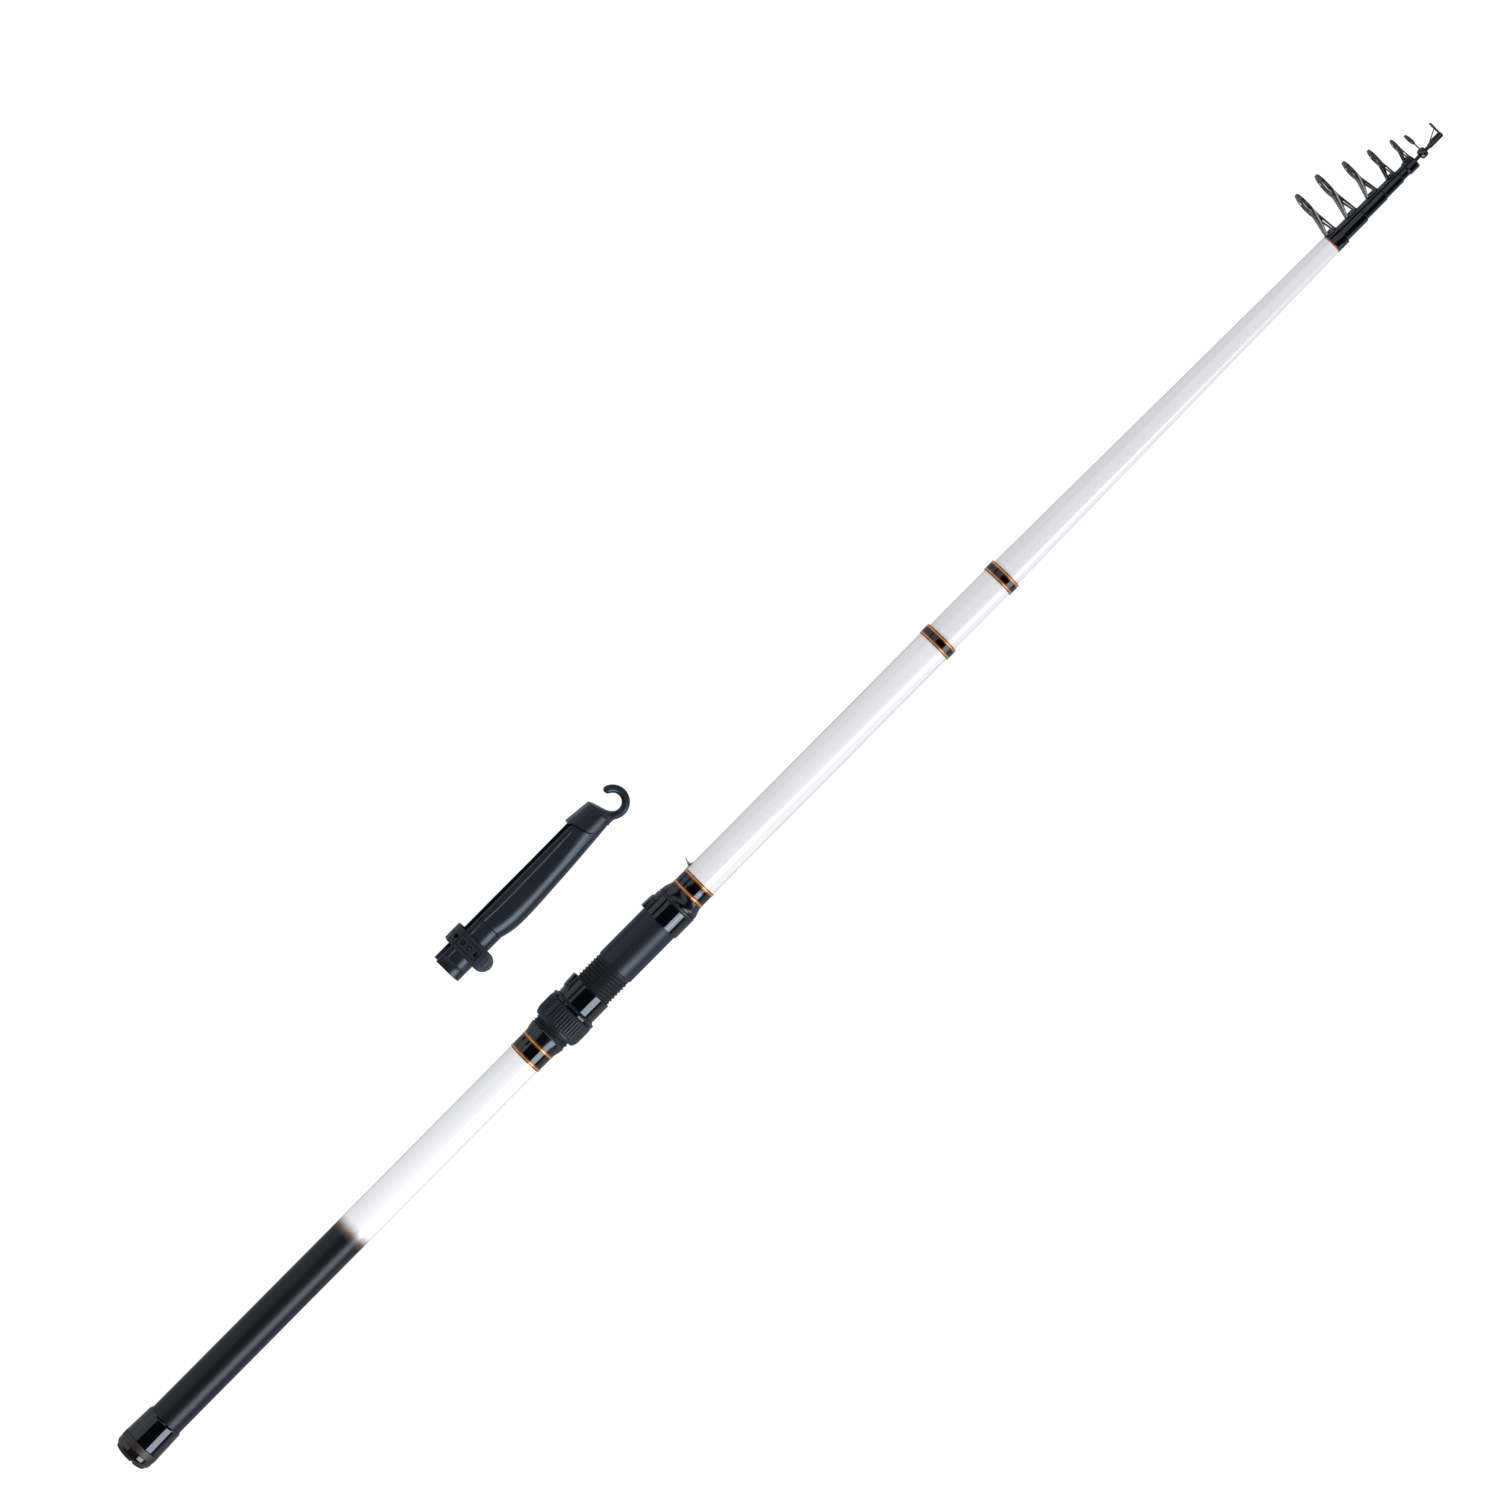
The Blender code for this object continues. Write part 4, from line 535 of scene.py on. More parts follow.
for place in ("rear", "front"):
    for letter in "ab":
        wound(f"{place}Gold{letter.upper()}", f"{place}_trim_{letter}", band["bore"], goldFinish,
              band["edge"], 0.00012)
for place in ("rear", "front"):
    wound(f"{place}Winding", f"{place}_wrap", band["bore"], glossFinish, band["wrapEdge"], 0.00014)
for number, radius in ((1, blank["radius"]), (2, second["radius"])):
    for letter in "ab":
        wound(f"mouthGold{number}{letter.upper()}", f"band_{number}_trim_{letter}", radius + band["gap"],
              goldFinish, band["edge"], 0.00004)
    wound(f"mouthBand{number}", f"mouth_band_{number}", radius + band["gap"], glossFinish, band["edge"])
wound("tipCopper", "tip_wrap_trim", band["tipBore"], copperFinish, 0.0002)
wound("tipWinding", "tip_wrap", band["tipBore"], glossFinish, band["wrapEdge"], 0.00010)


print("butt")
rubberFinish = mouldedPaint("softRubber", (0.0050, 0.0070, 0.0100), (0.0100, 0.0130, 0.0170), 0.60)
ferrule = {"bore": 0.01475, "rearRadius": 0.0166, "frontRadius": 0.0157, "bevel": 0.0009}
rear, front = ends("butt_ferrule")
turned("buttFerrule", "butt_ferrule", [
    (rear, ferrule["rearRadius"], 0.00025),
    (front - ferrule["bevel"] * 1.6, ferrule["frontRadius"] + 0.00003, 0.0005),
    (front, ferrule["frontRadius"] - ferrule["bevel"], 0.0003),
    (front, ferrule["bore"]),
    (rear, ferrule["bore"]),
], glossFinish)

# rim, end, grooveEnd, plugEnd, endWall and recess are distances from the rim of the butt cap
cap = {
    "rim": 0.0062, "end": 0.0124, "radius": 0.0168, "dish": 0.0019, "plugEnd": 0.0204,
    "bore": 0.01445, "groove": 0.01315, "grooveEnd": 0.0141, "plugBore": 0.01245, "endWall": 0.0048,
    "recess": 0.0018, "recessRadius": 0.0148, "knurls": 84, "knurlRows": 12, "knurlDepth": 0.0004,
}


def makeCap():
    base = cap["radius"] - cap["knurlDepth"]
    rim, end, grooveEnd, plugEnd, endWall, recess = (
        rimX + cap[name] for name in ("rim", "end", "grooveEnd", "plugEnd", "endWall", "recess"))
    pitch = (end - rim) / (cap["knurlRows"] + 1)
    xs = [rim + pitch * (i + 0.5) for i in range(cap["knurlRows"] + 1)]
    piece = lathe("buttCap", [
        (rimX, cap["recessRadius"] + 0.0004, 0.0003),
        (rimX + cap["dish"], base, 0.0022),
        (rim - 0.0003, base, 0.00015),
        (rim, base - 0.0003, 0.0001),
        *[(x, base) for x in xs],
        (end, base - 0.0002, 0.0001),
        (end, cap["groove"]),
        (grooveEnd, cap["groove"]),
        (grooveEnd, cap["bore"]),
        (plugEnd, cap["bore"], 0.0004),
        (plugEnd, cap["plugBore"], 0.0003),
        (endWall, cap["plugBore"]),
        (endWall, 0),
        (recess, 0),
        (recess, cap["recessRadius"]),
        (rimX, cap["recessRadius"], 0.0002),
    ], 2 * cap["knurls"])
    knurl = [0] * len(piece.data.vertices)
    groove = list(knurl)
    for vert in piece.data.vertices:
        angle, radius = polar(vert)
        if radius < base - 1e-5 or not xs[0] - 1e-5 < vert.co.x < xs[-1] + 1e-5:
            continue
        knurl[vert.index] = groove[vert.index] = 1
        if round((vert.co.x - xs[0]) / pitch) % 2 and round(angle / (pi / cap["knurls"])) % 2:
            setRadius(vert, angle, radius + cap["knurlDepth"] - 0.00002)
            groove[vert.index] = 0
    mark(piece, "knurl", knurl)
    # the knurl's low points, which the paint darkens as painted shade
    mark(piece, "groove", groove)
    return piece


def capPaint():
    # glossy rim, duller grey knurl, with painted shade near black in the knurl's low points
    paint = Paint("capPaint", ior=1.6, specular=1.0, tint=(1.0, 0.89, 0.87))
    knurl = paint.attribute("knurl")
    groove = paint.attribute("groove")
    cloud = paint.noise(40, 3)
    rim = paint.blend(cloud, (0.0030, 0.0032, 0.0044), (0.0060, 0.0062, 0.0078))
    grey = paint.blend(cloud, (0.030, 0.026, 0.026), (0.046, 0.040, 0.039))
    return paint.set(colour=paint.blend(knurl, rim, paint.blend(groove, grey, (0.0016, 0.0015, 0.0016))),
                     roughness=0.07 + knurl * 0.20 + groove * 0.30 + paint.noise(110, 3) * 0.04,
                     normal=paint.bump(paint.noise(700, 2), 0.06))


settle(makeCap(), "butt_cap", capPaint())
rear, front, outer = span("cap_seal")
turned("capSeal", "cap_seal", [
    (rear, outer, 0.0004), (front, outer, 0.0004), (front, outer - 0.001), (rear, outer - 0.001)], rubberFinish)

pad = {"edge": 0.0014, "slotWidth": 0.0032, "slotDepth": 0.0014, "slotTurn": 17, "ring": 0.0098, "dish": 0.0007}


def makePad():
    rear, front, outer = span("end_pad")
    piece = lathe("endPad", [
        (rear + pad["dish"], 0),
        (rear + pad["dish"], pad["ring"] - 0.0012, 0.0006),
        (rear, pad["ring"], 0.0006),
        (rear + 0.0002, outer - pad["edge"], 0.0010),
        (rear + 0.0016, outer - 0.0001, 0.0010),
        (front, outer),
        (front, 0),
    ])
    pick()
    bpy.ops.mesh.primitive_cube_add(size=1, enter_editmode=True)
    bar = bpy.context.object
    bpy.ops.transform.resize(value=(2 * pad["slotDepth"], pad["slotWidth"], outer * 3))
    bpy.ops.mesh.bevel(offset=0.0006, segments=3)
    bpy.ops.object.mode_set(mode="OBJECT")
    bar.data.transform(Matrix.Translation((rear, rodY, rodZ)) @ Matrix.Rotation(radians(pad["slotTurn"]), 4, "X"))
    cutAway(piece, bar)
    return piece


settle(makePad(), "end_pad", rubberFinish)
cushion = {"neck": 0.01215, "neckLength": 0.004}
rear, front, outer = span("cap_cushion")
turned("capCushion", "cap_cushion", [
    (rear, 0), (rear, cushion["neck"], 0.0004), (rear + cushion["neckLength"], cushion["neck"]),
    (rear + cushion["neckLength"], outer, 0.0005), (front, outer, 0.0008), (front, 0)], rubberFinish)
rear, front, outer = span("section_4_plug")
turned("tipPlug", "section_4_plug", [
    (rear, 0), (rear, outer, 0.0004), (front, outer - 0.0002, 0.0004), (front, 0)], rubberFinish, 48)


print("reel seat")
slateFinish = mouldedPaint("seatSlate", (0.0048, 0.0080, 0.0138), (0.0080, 0.0124, 0.0196), 0.38)
coneFinish = lacquerPaint("coneGloss", 0.17)
seat = {
    "bore": 0.0146, "small": 0.0148, "rearLarge": 0.0167, "frontLarge": 0.0173, "barrelRadius": 0.01655,
    "ringBore": 0.01685, "threadLength": 0.0713, "threadPitch": 0.0031, "threadDepth": 0.0009,
    "threadRows": 10, "threadSides": 120, "threadCrest": (0.07, 0.27), "threadFade": 0.5,
}
rear, front = ends("rear_cone")
turned("rearCone", "rear_cone", [
    *curveThrough([(rear, seat["small"]), (rear + 0.0015, seat["small"] + 0.00022),
                   (rear + 0.0055, seat["small"] + 0.00115), (front - 0.0004, seat["rearLarge"] - 0.00008)]),
    (front, seat["rearLarge"] - 0.0004), (front, seat["bore"]), (rear, seat["bore"])], coneFinish)
rear, front = ends("front_cone")
turned("frontCone", "front_cone", [
    (rear, seat["frontLarge"] - 0.0003),
    *curveThrough([(rear + 0.0003, seat["frontLarge"]), (rear + 0.0030, seat["frontLarge"] - 0.0003),
                   (rear + 0.0072, seat["small"] + 0.0006), (front, seat["small"])]),
    (front, seat["bore"]), (rear, seat["bore"])], coneFinish)


def makeBarrel():
    # the plain half of the barrel, and the screw for the lock nut cut as one real helix
    rear, front = ends("seat_barrel")
    root = seat["barrelRadius"] - seat["threadDepth"]
    turns = seat["threadLength"] / seat["threadPitch"]
    count = round(turns * seat["threadRows"])
    end = rear + seat["threadLength"]
    piece = lathe("seatBarrel", [
        *[(rear + i * seat["threadLength"] / count, root) for i in range(count + 1)],
        (end + 0.0011, root, 0.0003),
        (end + 0.0019, seat["barrelRadius"], 0.0006),
        (front, seat["barrelRadius"], 0.0004),
        (front, seat["bore"]),
        (rear, seat["bore"]),
    ], seat["threadSides"], 50)
    groove = [0] * len(piece.data.vertices)
    for vert in piece.data.vertices:
        angle, radius = polar(vert)
        if abs(radius - root) > 1e-5 or vert.co.x > end + 1e-5:
            continue
        along = (vert.co.x - rear) / seat["threadPitch"]
        crest = 1 - ease(abs((along - angle / (2 * pi)) % 1.0 - 0.5), *seat["threadCrest"])
        fade = max(min(1.0, along / seat["threadFade"], (turns - along) / seat["threadFade"]), 0)
        setRadius(vert, angle, radius + seat["threadDepth"] * crest * fade)
        groove[vert.index] = 1 - crest
    # the thread's grooves, which the paint darkens as painted shade
    mark(piece, "groove", groove)
    return piece


settle(makeBarrel(), "seat_barrel", slateFinish)
rear, front, outer = span("seat_ring")
turned("seatRing", "seat_ring", [
    (rear, outer, 0.0004), (front, outer, 0.0004), (front, seat["ringBore"]),
    (rear, seat["ringBore"])], slateFinish)

nut = {
    "outer": 0.02081, "ribDepth": 0.0006, "flange": 0.0199, "flangeLength": 0.0026, "bore": 0.01685,
    "ribs": 11, "groups": 4, "firstRib": -123, "stepsPerRib": 10, "ringBand": 0.0021, "ringFront": 0.0183,
}


def makeNut():
    # groups of fine ribs with a flat between them
    rear, front = ends("lock_nut")
    base = nut["outer"] - nut["ribDepth"]
    collar = rear + nut["flangeLength"]
    start, end = collar + 0.0007, front - 0.0006
    xs = [start + (end - start) * i / 6 for i in range(7)]
    places = nut["groups"] * (2 * nut["ribs"] + 2)
    piece = lathe("lockNut", [
        (rear, nut["flange"] - 0.0013, 0.0003),
        (rear + 0.0013, nut["flange"], 0.0009),
        (collar, nut["flange"], 0.0003),
        (collar + 0.0003, base - 0.0002),
        *[(x, base) for x in xs],
        (front, base - 0.0003, 0.0003),
        (front, nut["bore"]),
        (rear, nut["bore"]),
    ], places * nut["stepsPerRib"] // 2, 50)
    groove = [0] * len(piece.data.vertices)
    for vert in piece.data.vertices:
        angle, radius = polar(vert)
        x = vert.co.x
        if abs(radius - base) > 2e-5 or not start - 1e-6 < x < end + 1e-6:
            continue
        place = (angle - radians(nut["firstRib"])) / (2 * pi) * places % (places / nut["groups"])
        height = 1.0 if place > 2 * nut["ribs"] - 1 else 1 - ease(abs((place + 1) % 2 - 1), 0.35, 0.8)
        fade = ease(x, start - 0.0003, xs[1]) * ease(-x, -end - 0.0004, -xs[-2])
        setRadius(vert, angle, base + nut["ribDepth"] * height * (0.35 + 0.65 * fade))
        groove[vert.index] = (1 - height) * fade
    # the gaps between the ribs, which the paint darkens as painted shade
    mark(piece, "groove", groove)
    return piece


def ringPaint(edge):
    # glossy round its straight band, slate on the bevel in front of it
    paint = Paint("nutRing", ior=1.6, specular=0.8, tint=blueTint)
    bevel = paint.share(paint.alongRod(), edge, edge + 0.0002)
    cloud = paint.noise(60, 3)
    slate = paint.blend(cloud, (0.0062, 0.0100, 0.0165), (0.0100, 0.0150, 0.0230))
    return paint.set(colour=paint.blend(bevel, paint.blend(cloud, inkDark, inkLight), slate),
                     roughness=0.06 + bevel * 0.34 + paint.noise(200, 3) * 0.04)


settle(makeNut(), "lock_nut", slateFinish)
rear, front = ends("nut_ring")
ringOuter = nut["outer"] - nut["ribDepth"] / 2
turned("nutRing", "nut_ring", [
    (rear, ringOuter, 0.0002), (rear + nut["ringBand"], ringOuter, 0.0005),
    (front - 0.0007, nut["ringFront"], 0.0003), (front, nut["ringFront"] - 0.0003, 0.0002),
    (front, nut["bore"]), (rear, nut["bore"])], ringPaint(rear + nut["ringBand"] - 0.0001))

hood = {
    "outer": 0.0177, "bore": 0.01685, "humpHeight": 0.0022, "humpFall": 0.0006, "humpLength": 0.0122,
    "humpWidth": 0.0078, "skirtWidth": 0.0112, "skirtHeight": 0.0004, "skirtLength": 0.0176, "edge": 0.0010,
    "pocketRadius": 0.0187, "pocketWidth": 0.0066, "pocketLength": 0.0106, "rows": 18,
}


def makeReelHood(name, node, openFront):
    # a ring with a raised pocket for the reel's foot on the guides' side, its skirt running out behind
    rear, front = ends(node)
    xs = [rear + (front - rear) * i / hood["rows"] for i in range(hood["rows"] + 1)]
    piece = lathe(name, [
        (rear, hood["outer"], 0.0004),
        *[(x, hood["outer"]) for x in xs[1:-1]],
        (front, hood["outer"], 0.0004),
        *[(x, hood["bore"]) for x in reversed(xs)],
    ], 240, 40)
    length = hood["humpLength"]
    for vert in piece.data.vertices:
        angle, radius = polar(vert)
        depth = front - vert.co.x if openFront else vert.co.x - rear
        side = abs(radius * sin(angle)) if cos(angle) > 0 else 1.0
        if radius > (hood["outer"] + hood["bore"]) / 2:
            ridge = 1 - ease(depth, length - 0.0006, length + 0.0012)
            width = hood["humpWidth"] + (hood["skirtWidth"] - hood["humpWidth"]) * ease(
                depth, length - 0.0035, length + 0.0010)
            skirt = hood["skirtHeight"] * (1 - ease(depth, hood["skirtLength"] - 0.0011, hood["skirtLength"]))
            height = max((hood["humpHeight"] - hood["humpFall"] * depth / length) * ridge, skirt)
            setRadius(vert, angle, radius + height * (1 - ease(side, width - hood["edge"], width)))
        elif depth < hood["pocketLength"]:
            window = 1 - ease(side, hood["pocketWidth"] - 0.0006, hood["pocketWidth"])
            setRadius(vert, angle, radius + (hood["pocketRadius"] - hood["bore"]) * window)
    return settle(piece, node, glossFinish)


makeReelHood("movingHood", "moving_hood", True)
makeReelHood("fixedHood", "fixed_hood", False)


def wirePiece(name, points, thickness):
    # a wire along smooth points, with closed ends; a ring where the first point comes back as the last
    closed = points[0] == points[-1]
    points = points[:-1] if closed else points
    data = bpy.data.curves.new(name, "CURVE")
    data.dimensions = "3D"
    data.bevel_depth = thickness / 2
    data.bevel_resolution = 3
    data.resolution_u = 6
    data.use_fill_caps = True
    spline = data.splines.new("BEZIER")
    spline.bezier_points.add(len(points) - 1)
    for knot, point in zip(spline.bezier_points, points):
        knot.co = point
        knot.handle_left_type = knot.handle_right_type = "AUTO"
    spline.use_cyclic_u = closed
    piece = bpy.data.objects.new(name, data)
    bpy.context.scene.collection.objects.link(piece)
    pick(piece)
    bpy.ops.object.convert(target="MESH")
    return skin(piece, 1e-7, 40)


def plate(name, outline, thickness, edge):
    # a flat plate of (x, y) points round z 0, with softened edges
    pick()
    bpy.ops.mesh.primitive_circle_add(vertices=len(outline), radius=1, fill_type="NGON")
    piece = bpy.context.object
    piece.name = name
    for vert, (x, y) in zip(piece.data.vertices, outline):
        vert.co = (x, y, -thickness / 2)
    bpy.ops.object.mode_set(mode="EDIT")
    bpy.ops.mesh.select_all(action="SELECT")
    bpy.ops.mesh.extrude_region_move(TRANSFORM_OT_translate={"value": (0, 0, thickness)})
    skin(piece)
    modify(piece, "BEVEL", width=edge, segments=2, limit_method="ANGLE", angle_limit=radians(50))
    bpy.ops.object.shade_smooth_by_angle(angle=radians(40))
    return piece


def saddle(name, centreX, seat, length, halfAngle, thickness):
    # a shell with soft edges that sits on a round part, on the guides' side
    pick()
    bpy.ops.mesh.primitive_cube_add(size=2, enter_editmode=True)
    piece = bpy.context.object
    piece.name = name
    bpy.ops.mesh.subdivide(number_cuts=11)
    bpy.ops.object.mode_set(mode="OBJECT")
    for vert in piece.data.vertices:
        point = vert.co.copy()
        plan = (abs(point.x) ** 3 + abs(point.z) ** 3) ** (1 / 3)
        flat = max(abs(point.x), abs(point.z))
        if plan > 1e-6:
            point.x *= flat / plan
            point.z *= flat / plan
        level = (point.y + 1) / 2 * (1 - ease(flat, 0.62, 1.0) * 0.62)
        vert.co.x = centreX + point.x * length / 2
        setRadius(vert, point.z * radians(halfAngle), seat + thickness * level)
    return skin(piece, 0, 45)


print("keeper")
steelFinish = glossPaint("steelWire", (0.40, 0.41, 0.43), (0.55, 0.56, 0.58), 0.20, 0.12, (400, 3), (700, 2),
                         (1500, 2), (0.06, 0.00004), metallic=1.0)
keeper = {
    "seat": 0.0146, "thickness": 0.0006, "halfAngle": 11, "eyeRadius": 0.00085, "eyeWire": 0.00034,
    "eyeLength": 0.0022, "eyeLift": 0.00092, "wire": 0.0008, "loopWidth": 0.0046, "loopHeight": 0.0048,
    "loopDip": 0.0002, "bendIn": 0.0013, "bendOut": 0.0010, "lean": 18,
}
low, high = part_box("keeper_foot")
eyeX = (low.x + high.x) / 2
wireY = rodY + keeper["seat"] + keeper["thickness"] + keeper["eyeLift"]
foot = saddle("keeperFoot", eyeX, keeper["seat"], high.x - low.x, keeper["halfAngle"], keeper["thickness"])
pick()
bpy.ops.mesh.primitive_torus_add(
    major_segments=32, minor_segments=12, major_radius=keeper["eyeRadius"], minor_radius=keeper["eyeWire"],
    location=(eyeX, wireY, rodZ))
eye = bpy.context.object
bpy.ops.object.transform_apply()
for vert in eye.data.vertices:
    vert.co.z = rodZ + (vert.co.z - rodZ) * keeper["eyeLength"] / (2 * keeper["eyeWire"])
settle(joinAll("keeperFoot", [foot, eye]), "keeper_foot", steelFinish)
half = keeper["loopWidth"] / 2
dip, bendIn, bendOut = keeper["loopDip"], keeper["bendIn"], keeper["bendOut"]
ring = [(-dip, -half + bendIn), (0.0, 0.0), (-dip, half - bendIn), (bendOut, half)]
ring += [(keeper["loopHeight"] - half + half * sin(angle), half * cos(angle))
         for angle in (0.4, 1.1, pi / 2, pi - 1.1, pi - 0.4)]
ring += [(bendOut, -half), ring[0]]
lean = Matrix.Rotation(radians(-keeper["lean"]), 3, "Z")
loop = [Vector((eyeX, wireY, rodZ)) + lean @ Vector((0, y, z)) for y, z in ring]
settle(wirePiece("keeperLoop", loop, keeper["wire"]), "keeper_loop", steelFinish)


def guidePaint():
    # black plated frame, with a painted sheen of light grey on the legs' outer faces where they would reflect the
    # lamps
    paint = Paint("guideMetal", ior=1.7, specular=1.0)
    bare = paint.share(paint.attribute("bare"), 0.85, 0.99) * paint.ramp(paint.attribute("across"), [
        (0.0, (0, 0, 0)), (0.10, (0, 0, 0)), (0.20, (1, 1, 1)), (0.66, (1, 1, 1)), (0.76, (0, 0, 0))])
    cloud = paint.noise(300, 3)
    black = paint.blend(cloud, (0.0030, 0.0033, 0.0040), (0.0100, 0.0106, 0.0125))
    grey = paint.blend(cloud, (0.20, 0.21, 0.225), (0.33, 0.34, 0.36))
    return paint.set(colour=paint.blend(bare, black, grey),
                     roughness=0.12 + bare * 0.26 + paint.noise(500, 3) * 0.08,
                     normal=paint.bump(paint.noise(1800, 2), 0.08, 0.00004))


print("guides")
guideFinish = guidePaint()
ceramicFinish = glossPaint("ceramic", (0.008, 0.009, 0.011), (0.085, 0.089, 0.098), 0.08, 0.10, (200, 2), (350, 2),
                           ior=1.8, specular=1.0)
leg = {
    "topWidth": 0.0027, "footWidth": 0.0014, "fork": 0.38, "footAngle": 31, "thickness": 0.0010,
    "footHalfAngle": 46, "footThickness": 0.0012, "forward": 0.0012, "ringLean": 4, "headShift": 0.0003,
    "kneeHeight": 0.35, "kneeShare": 1.15, "crotch": 0.00045, "crotchFall": 0.0004, "edgeWidth": 0.002,
}
# the seventh column is 1 where a guide's legs get a painted sheen on their outer faces
guideSizes = ("diameter", "height", "depth", "frame", "insert", "foot", "bare", "sleeveBore")
guides = {number: dict(zip(guideSizes, row)) for number, row in (
    (1, (0.0236, 0.0354, 0.0024, 0.0011, 0.0014, 0.0098, 1, 0)),
    (2, (0.0236, 0.0351, 0.0024, 0.0011, 0.0014, 0.0112, 1, 0.00539)),
    (3, (0.0184, 0.0301, 0.0022, 0.0010, 0.0013, 0.0114, 1, 0.00443)),
    (4, (0.0160, 0.0239, 0.0020, 0.0009, 0.0012, 0.0084, 0, 0.00362)),
    (5, (0.0122, 0.0188, 0.0018, 0.0008, 0.0010, 0.0070, 0, 0.00290)),
)}


def makeRing(name, size, place, sides=72):
    # the metal ring and the ceramic ring in it, turned round X and then put in their place
    outer = size["diameter"] / 2
    inner = outer - size["frame"]
    half = size["depth"] / 2
    metal = lathe(name + "Metal", [
        (-half, outer, size["frame"] * 0.55), (half, outer, size["frame"] * 0.55),
        (half, inner, 0.0001), (-half, inner, 0.0001)], sides, 40, (0, 0))
    seat = inner - 0.0003
    lip = half + size["insert"] * 0.25
    edge = size["insert"] * 0.45
    ceramic = lathe(name + "Ring", [
        (-lip, seat, 0.00025), (lip, seat, 0.00025), (lip, seat - edge, edge), (0, seat - size["insert"], half),
        (-lip, seat - edge, edge)], sides, 60, (0, 0))
    metal.data.transform(place)
    ceramic.data.transform(place)
    return metal, ceramic


def openRing(pieces, size, place, sides):
    # cuts the inside of a ring out of the legs that reach it
    for piece in pieces:
        punch(piece, place @ Matrix.Rotation(pi / 2, 4, "Y"), size["diameter"] / 2 - size["frame"],
              size["depth"] * 3, sides)


def settleGuide(name, node, pieces, ceramic):
    settle(joinAll(name + "Frame", pieces), node + "_frame", guideFinish)
    settle(ceramic, node + "_ring", ceramicFinish)


def makeLeg(size, footTop, side, footCentre):
    # one side's leg, a strip that forks into an A above the foot and leans out to the ring
    angle = radians(leg["footAngle"])
    top = size["height"] + 0.001
    bottom = footTop * cos(angle) - leg["footThickness"] * 0.6
    half = size["foot"] / 2 - 0.0004
    fork = bottom + (top - bottom) * leg["fork"]
    knee = fork + (top - fork) * leg["kneeHeight"]
    wide = min(leg["topWidth"], size["depth"]) / 2
    kneeWide = wide * leg["kneeShare"]
    forward = leg["forward"]
    head = forward + leg["headShift"]
    strut = plate("leg", [
        (head - wide, top), (head + wide, top), (forward + kneeWide, knee), (half, bottom),
        (half - leg["footWidth"], bottom), (forward + leg["crotch"], fork - leg["crotchFall"]), (forward, fork),
        (forward - leg["crotch"], fork - leg["crotchFall"]), (-half + leg["footWidth"], bottom), (-half, bottom),
        (forward - kneeWide, knee),
    ], leg["thickness"], leg["thickness"] * 0.3)
    footZ = footTop * sin(angle)
    ringZ = size["diameter"] / 2 - size["frame"] * 0.6
    along = Vector((head - kneeWide + half, knee - bottom)).normalized()
    bare, across = [], []
    for vert in strut.data.vertices:
        x, y, z = vert.co
        # the outer faces are marked for a painted sheen, in a band across the leg
        bare.append(size["bare"] if z > 0 else 0)
        across.append(((x + half) * along.y - (y - bottom) * along.x) / leg["edgeWidth"])
        level = footZ + (ringZ - footZ) * (y - bottom) / (size["height"] - bottom)
        vert.co = (footCentre + x, rodY + y, rodZ + side * level + z)
    mark(strut, "bare", bare)
    mark(strut, "across", across)
    return strut


def makeGuide(number):
    size = guides[number]
    node = f"guide_{number}"
    rear, front, seat = span("tip_wrap" if number == 1 else node + "_sleeve")
    centre = (rear + front) / 2 if number == 1 else front - size["foot"] / 2 - 0.0003
    seat += 0.0003
    place = (Matrix.Translation((centre + leg["forward"], rodY + size["height"], rodZ))
             @ Matrix.Rotation(radians(-leg["ringLean"]), 4, "Z"))
    metal, ceramic = makeRing(f"guide{number}", size, place)
    legs = [makeLeg(size, seat + leg["footThickness"], side, centre) for side in (1, -1)]
    openRing(legs, size, place, 72)
    foot = saddle("foot", centre, seat, size["foot"], leg["footHalfAngle"], leg["footThickness"])
    settleGuide(f"guide{number}", node, [metal, foot, *legs], ceramic)


collar = {"length": 0.0093, "step": 0.0009}
for number in range(1, 6):
    if number > 1:
        rear, front, outer = span(f"guide_{number}_sleeve")
        corners = [(rear, outer, 0.0003), (front, outer, 0.0004)]
        if number == 5:
            corners = [(rear, outer - collar["step"], 0.0003),
                       (front - collar["length"] - 0.0009, outer - collar["step"], 0.0003),
                       (front - collar["length"], outer, 0.0004), (front, outer, 0.0006)]
        bore = guides[number]["sleeveBore"]
        turned(f"guide{number}Sleeve", f"guide_{number}_sleeve", [
            *corners, (front, bore, 0.0003), (rear, bore)], glossFinish, 72)
    makeGuide(number)

bead = {
    "diameter": 0.0106, "height": 0.0144, "depth": 0.0014, "frame": 0.0006, "insert": 0.0009, "wire": 0.0011,
    "bore": 0.00226, "outer": 0.00426, "length": 0.0062, "lean": 5,
}


def makeBeadGuide():
    # guide 6: a bead that slides on the tip section, with its ring on a short wire
    low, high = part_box("guide_6_frame")
    middle = (low.x + high.x) / 2
    rear = low.x if high.x - low.x < bead["length"] + 1e-4 else middle - bead["length"] / 2
    front = rear + bead["length"]
    middle = (rear + front) / 2
    outer = bead["outer"]
    ball = lathe("guide6Frame", [
        (rear, bead["bore"], 0.0002), (rear, outer - 0.0011, 0.0003),
        *curveThrough([(rear + 0.00035, outer - 0.00060), (rear + 0.0016, outer - 0.00012), (middle, outer),
                       (front - 0.0016, outer - 0.00012), (front - 0.00035, outer - 0.00060)], 5),
        (front, outer - 0.0011, 0.0003), (front, bead["bore"], 0.0002)], 48)
    lean = radians(bead["lean"])
    place = Matrix.Translation((middle, rodY + bead["height"], rodZ)) @ Matrix.Rotation(lean, 4, "Z")
    metal, ceramic = makeRing("guide6", bead, place, 56)
    foot = Vector((middle + sin(lean) * bead["height"] / 2, rodY + outer - 0.0009, rodZ))
    top = place @ Vector((0, -bead["diameter"] / 2 + bead["frame"] / 2, 0))
    stem = wirePiece("stem", [foot, (foot + top) / 2, top], bead["wire"])
    settleGuide("guide6", "guide_6", [ball, metal, stem], ceramic)


makeBeadGuide()


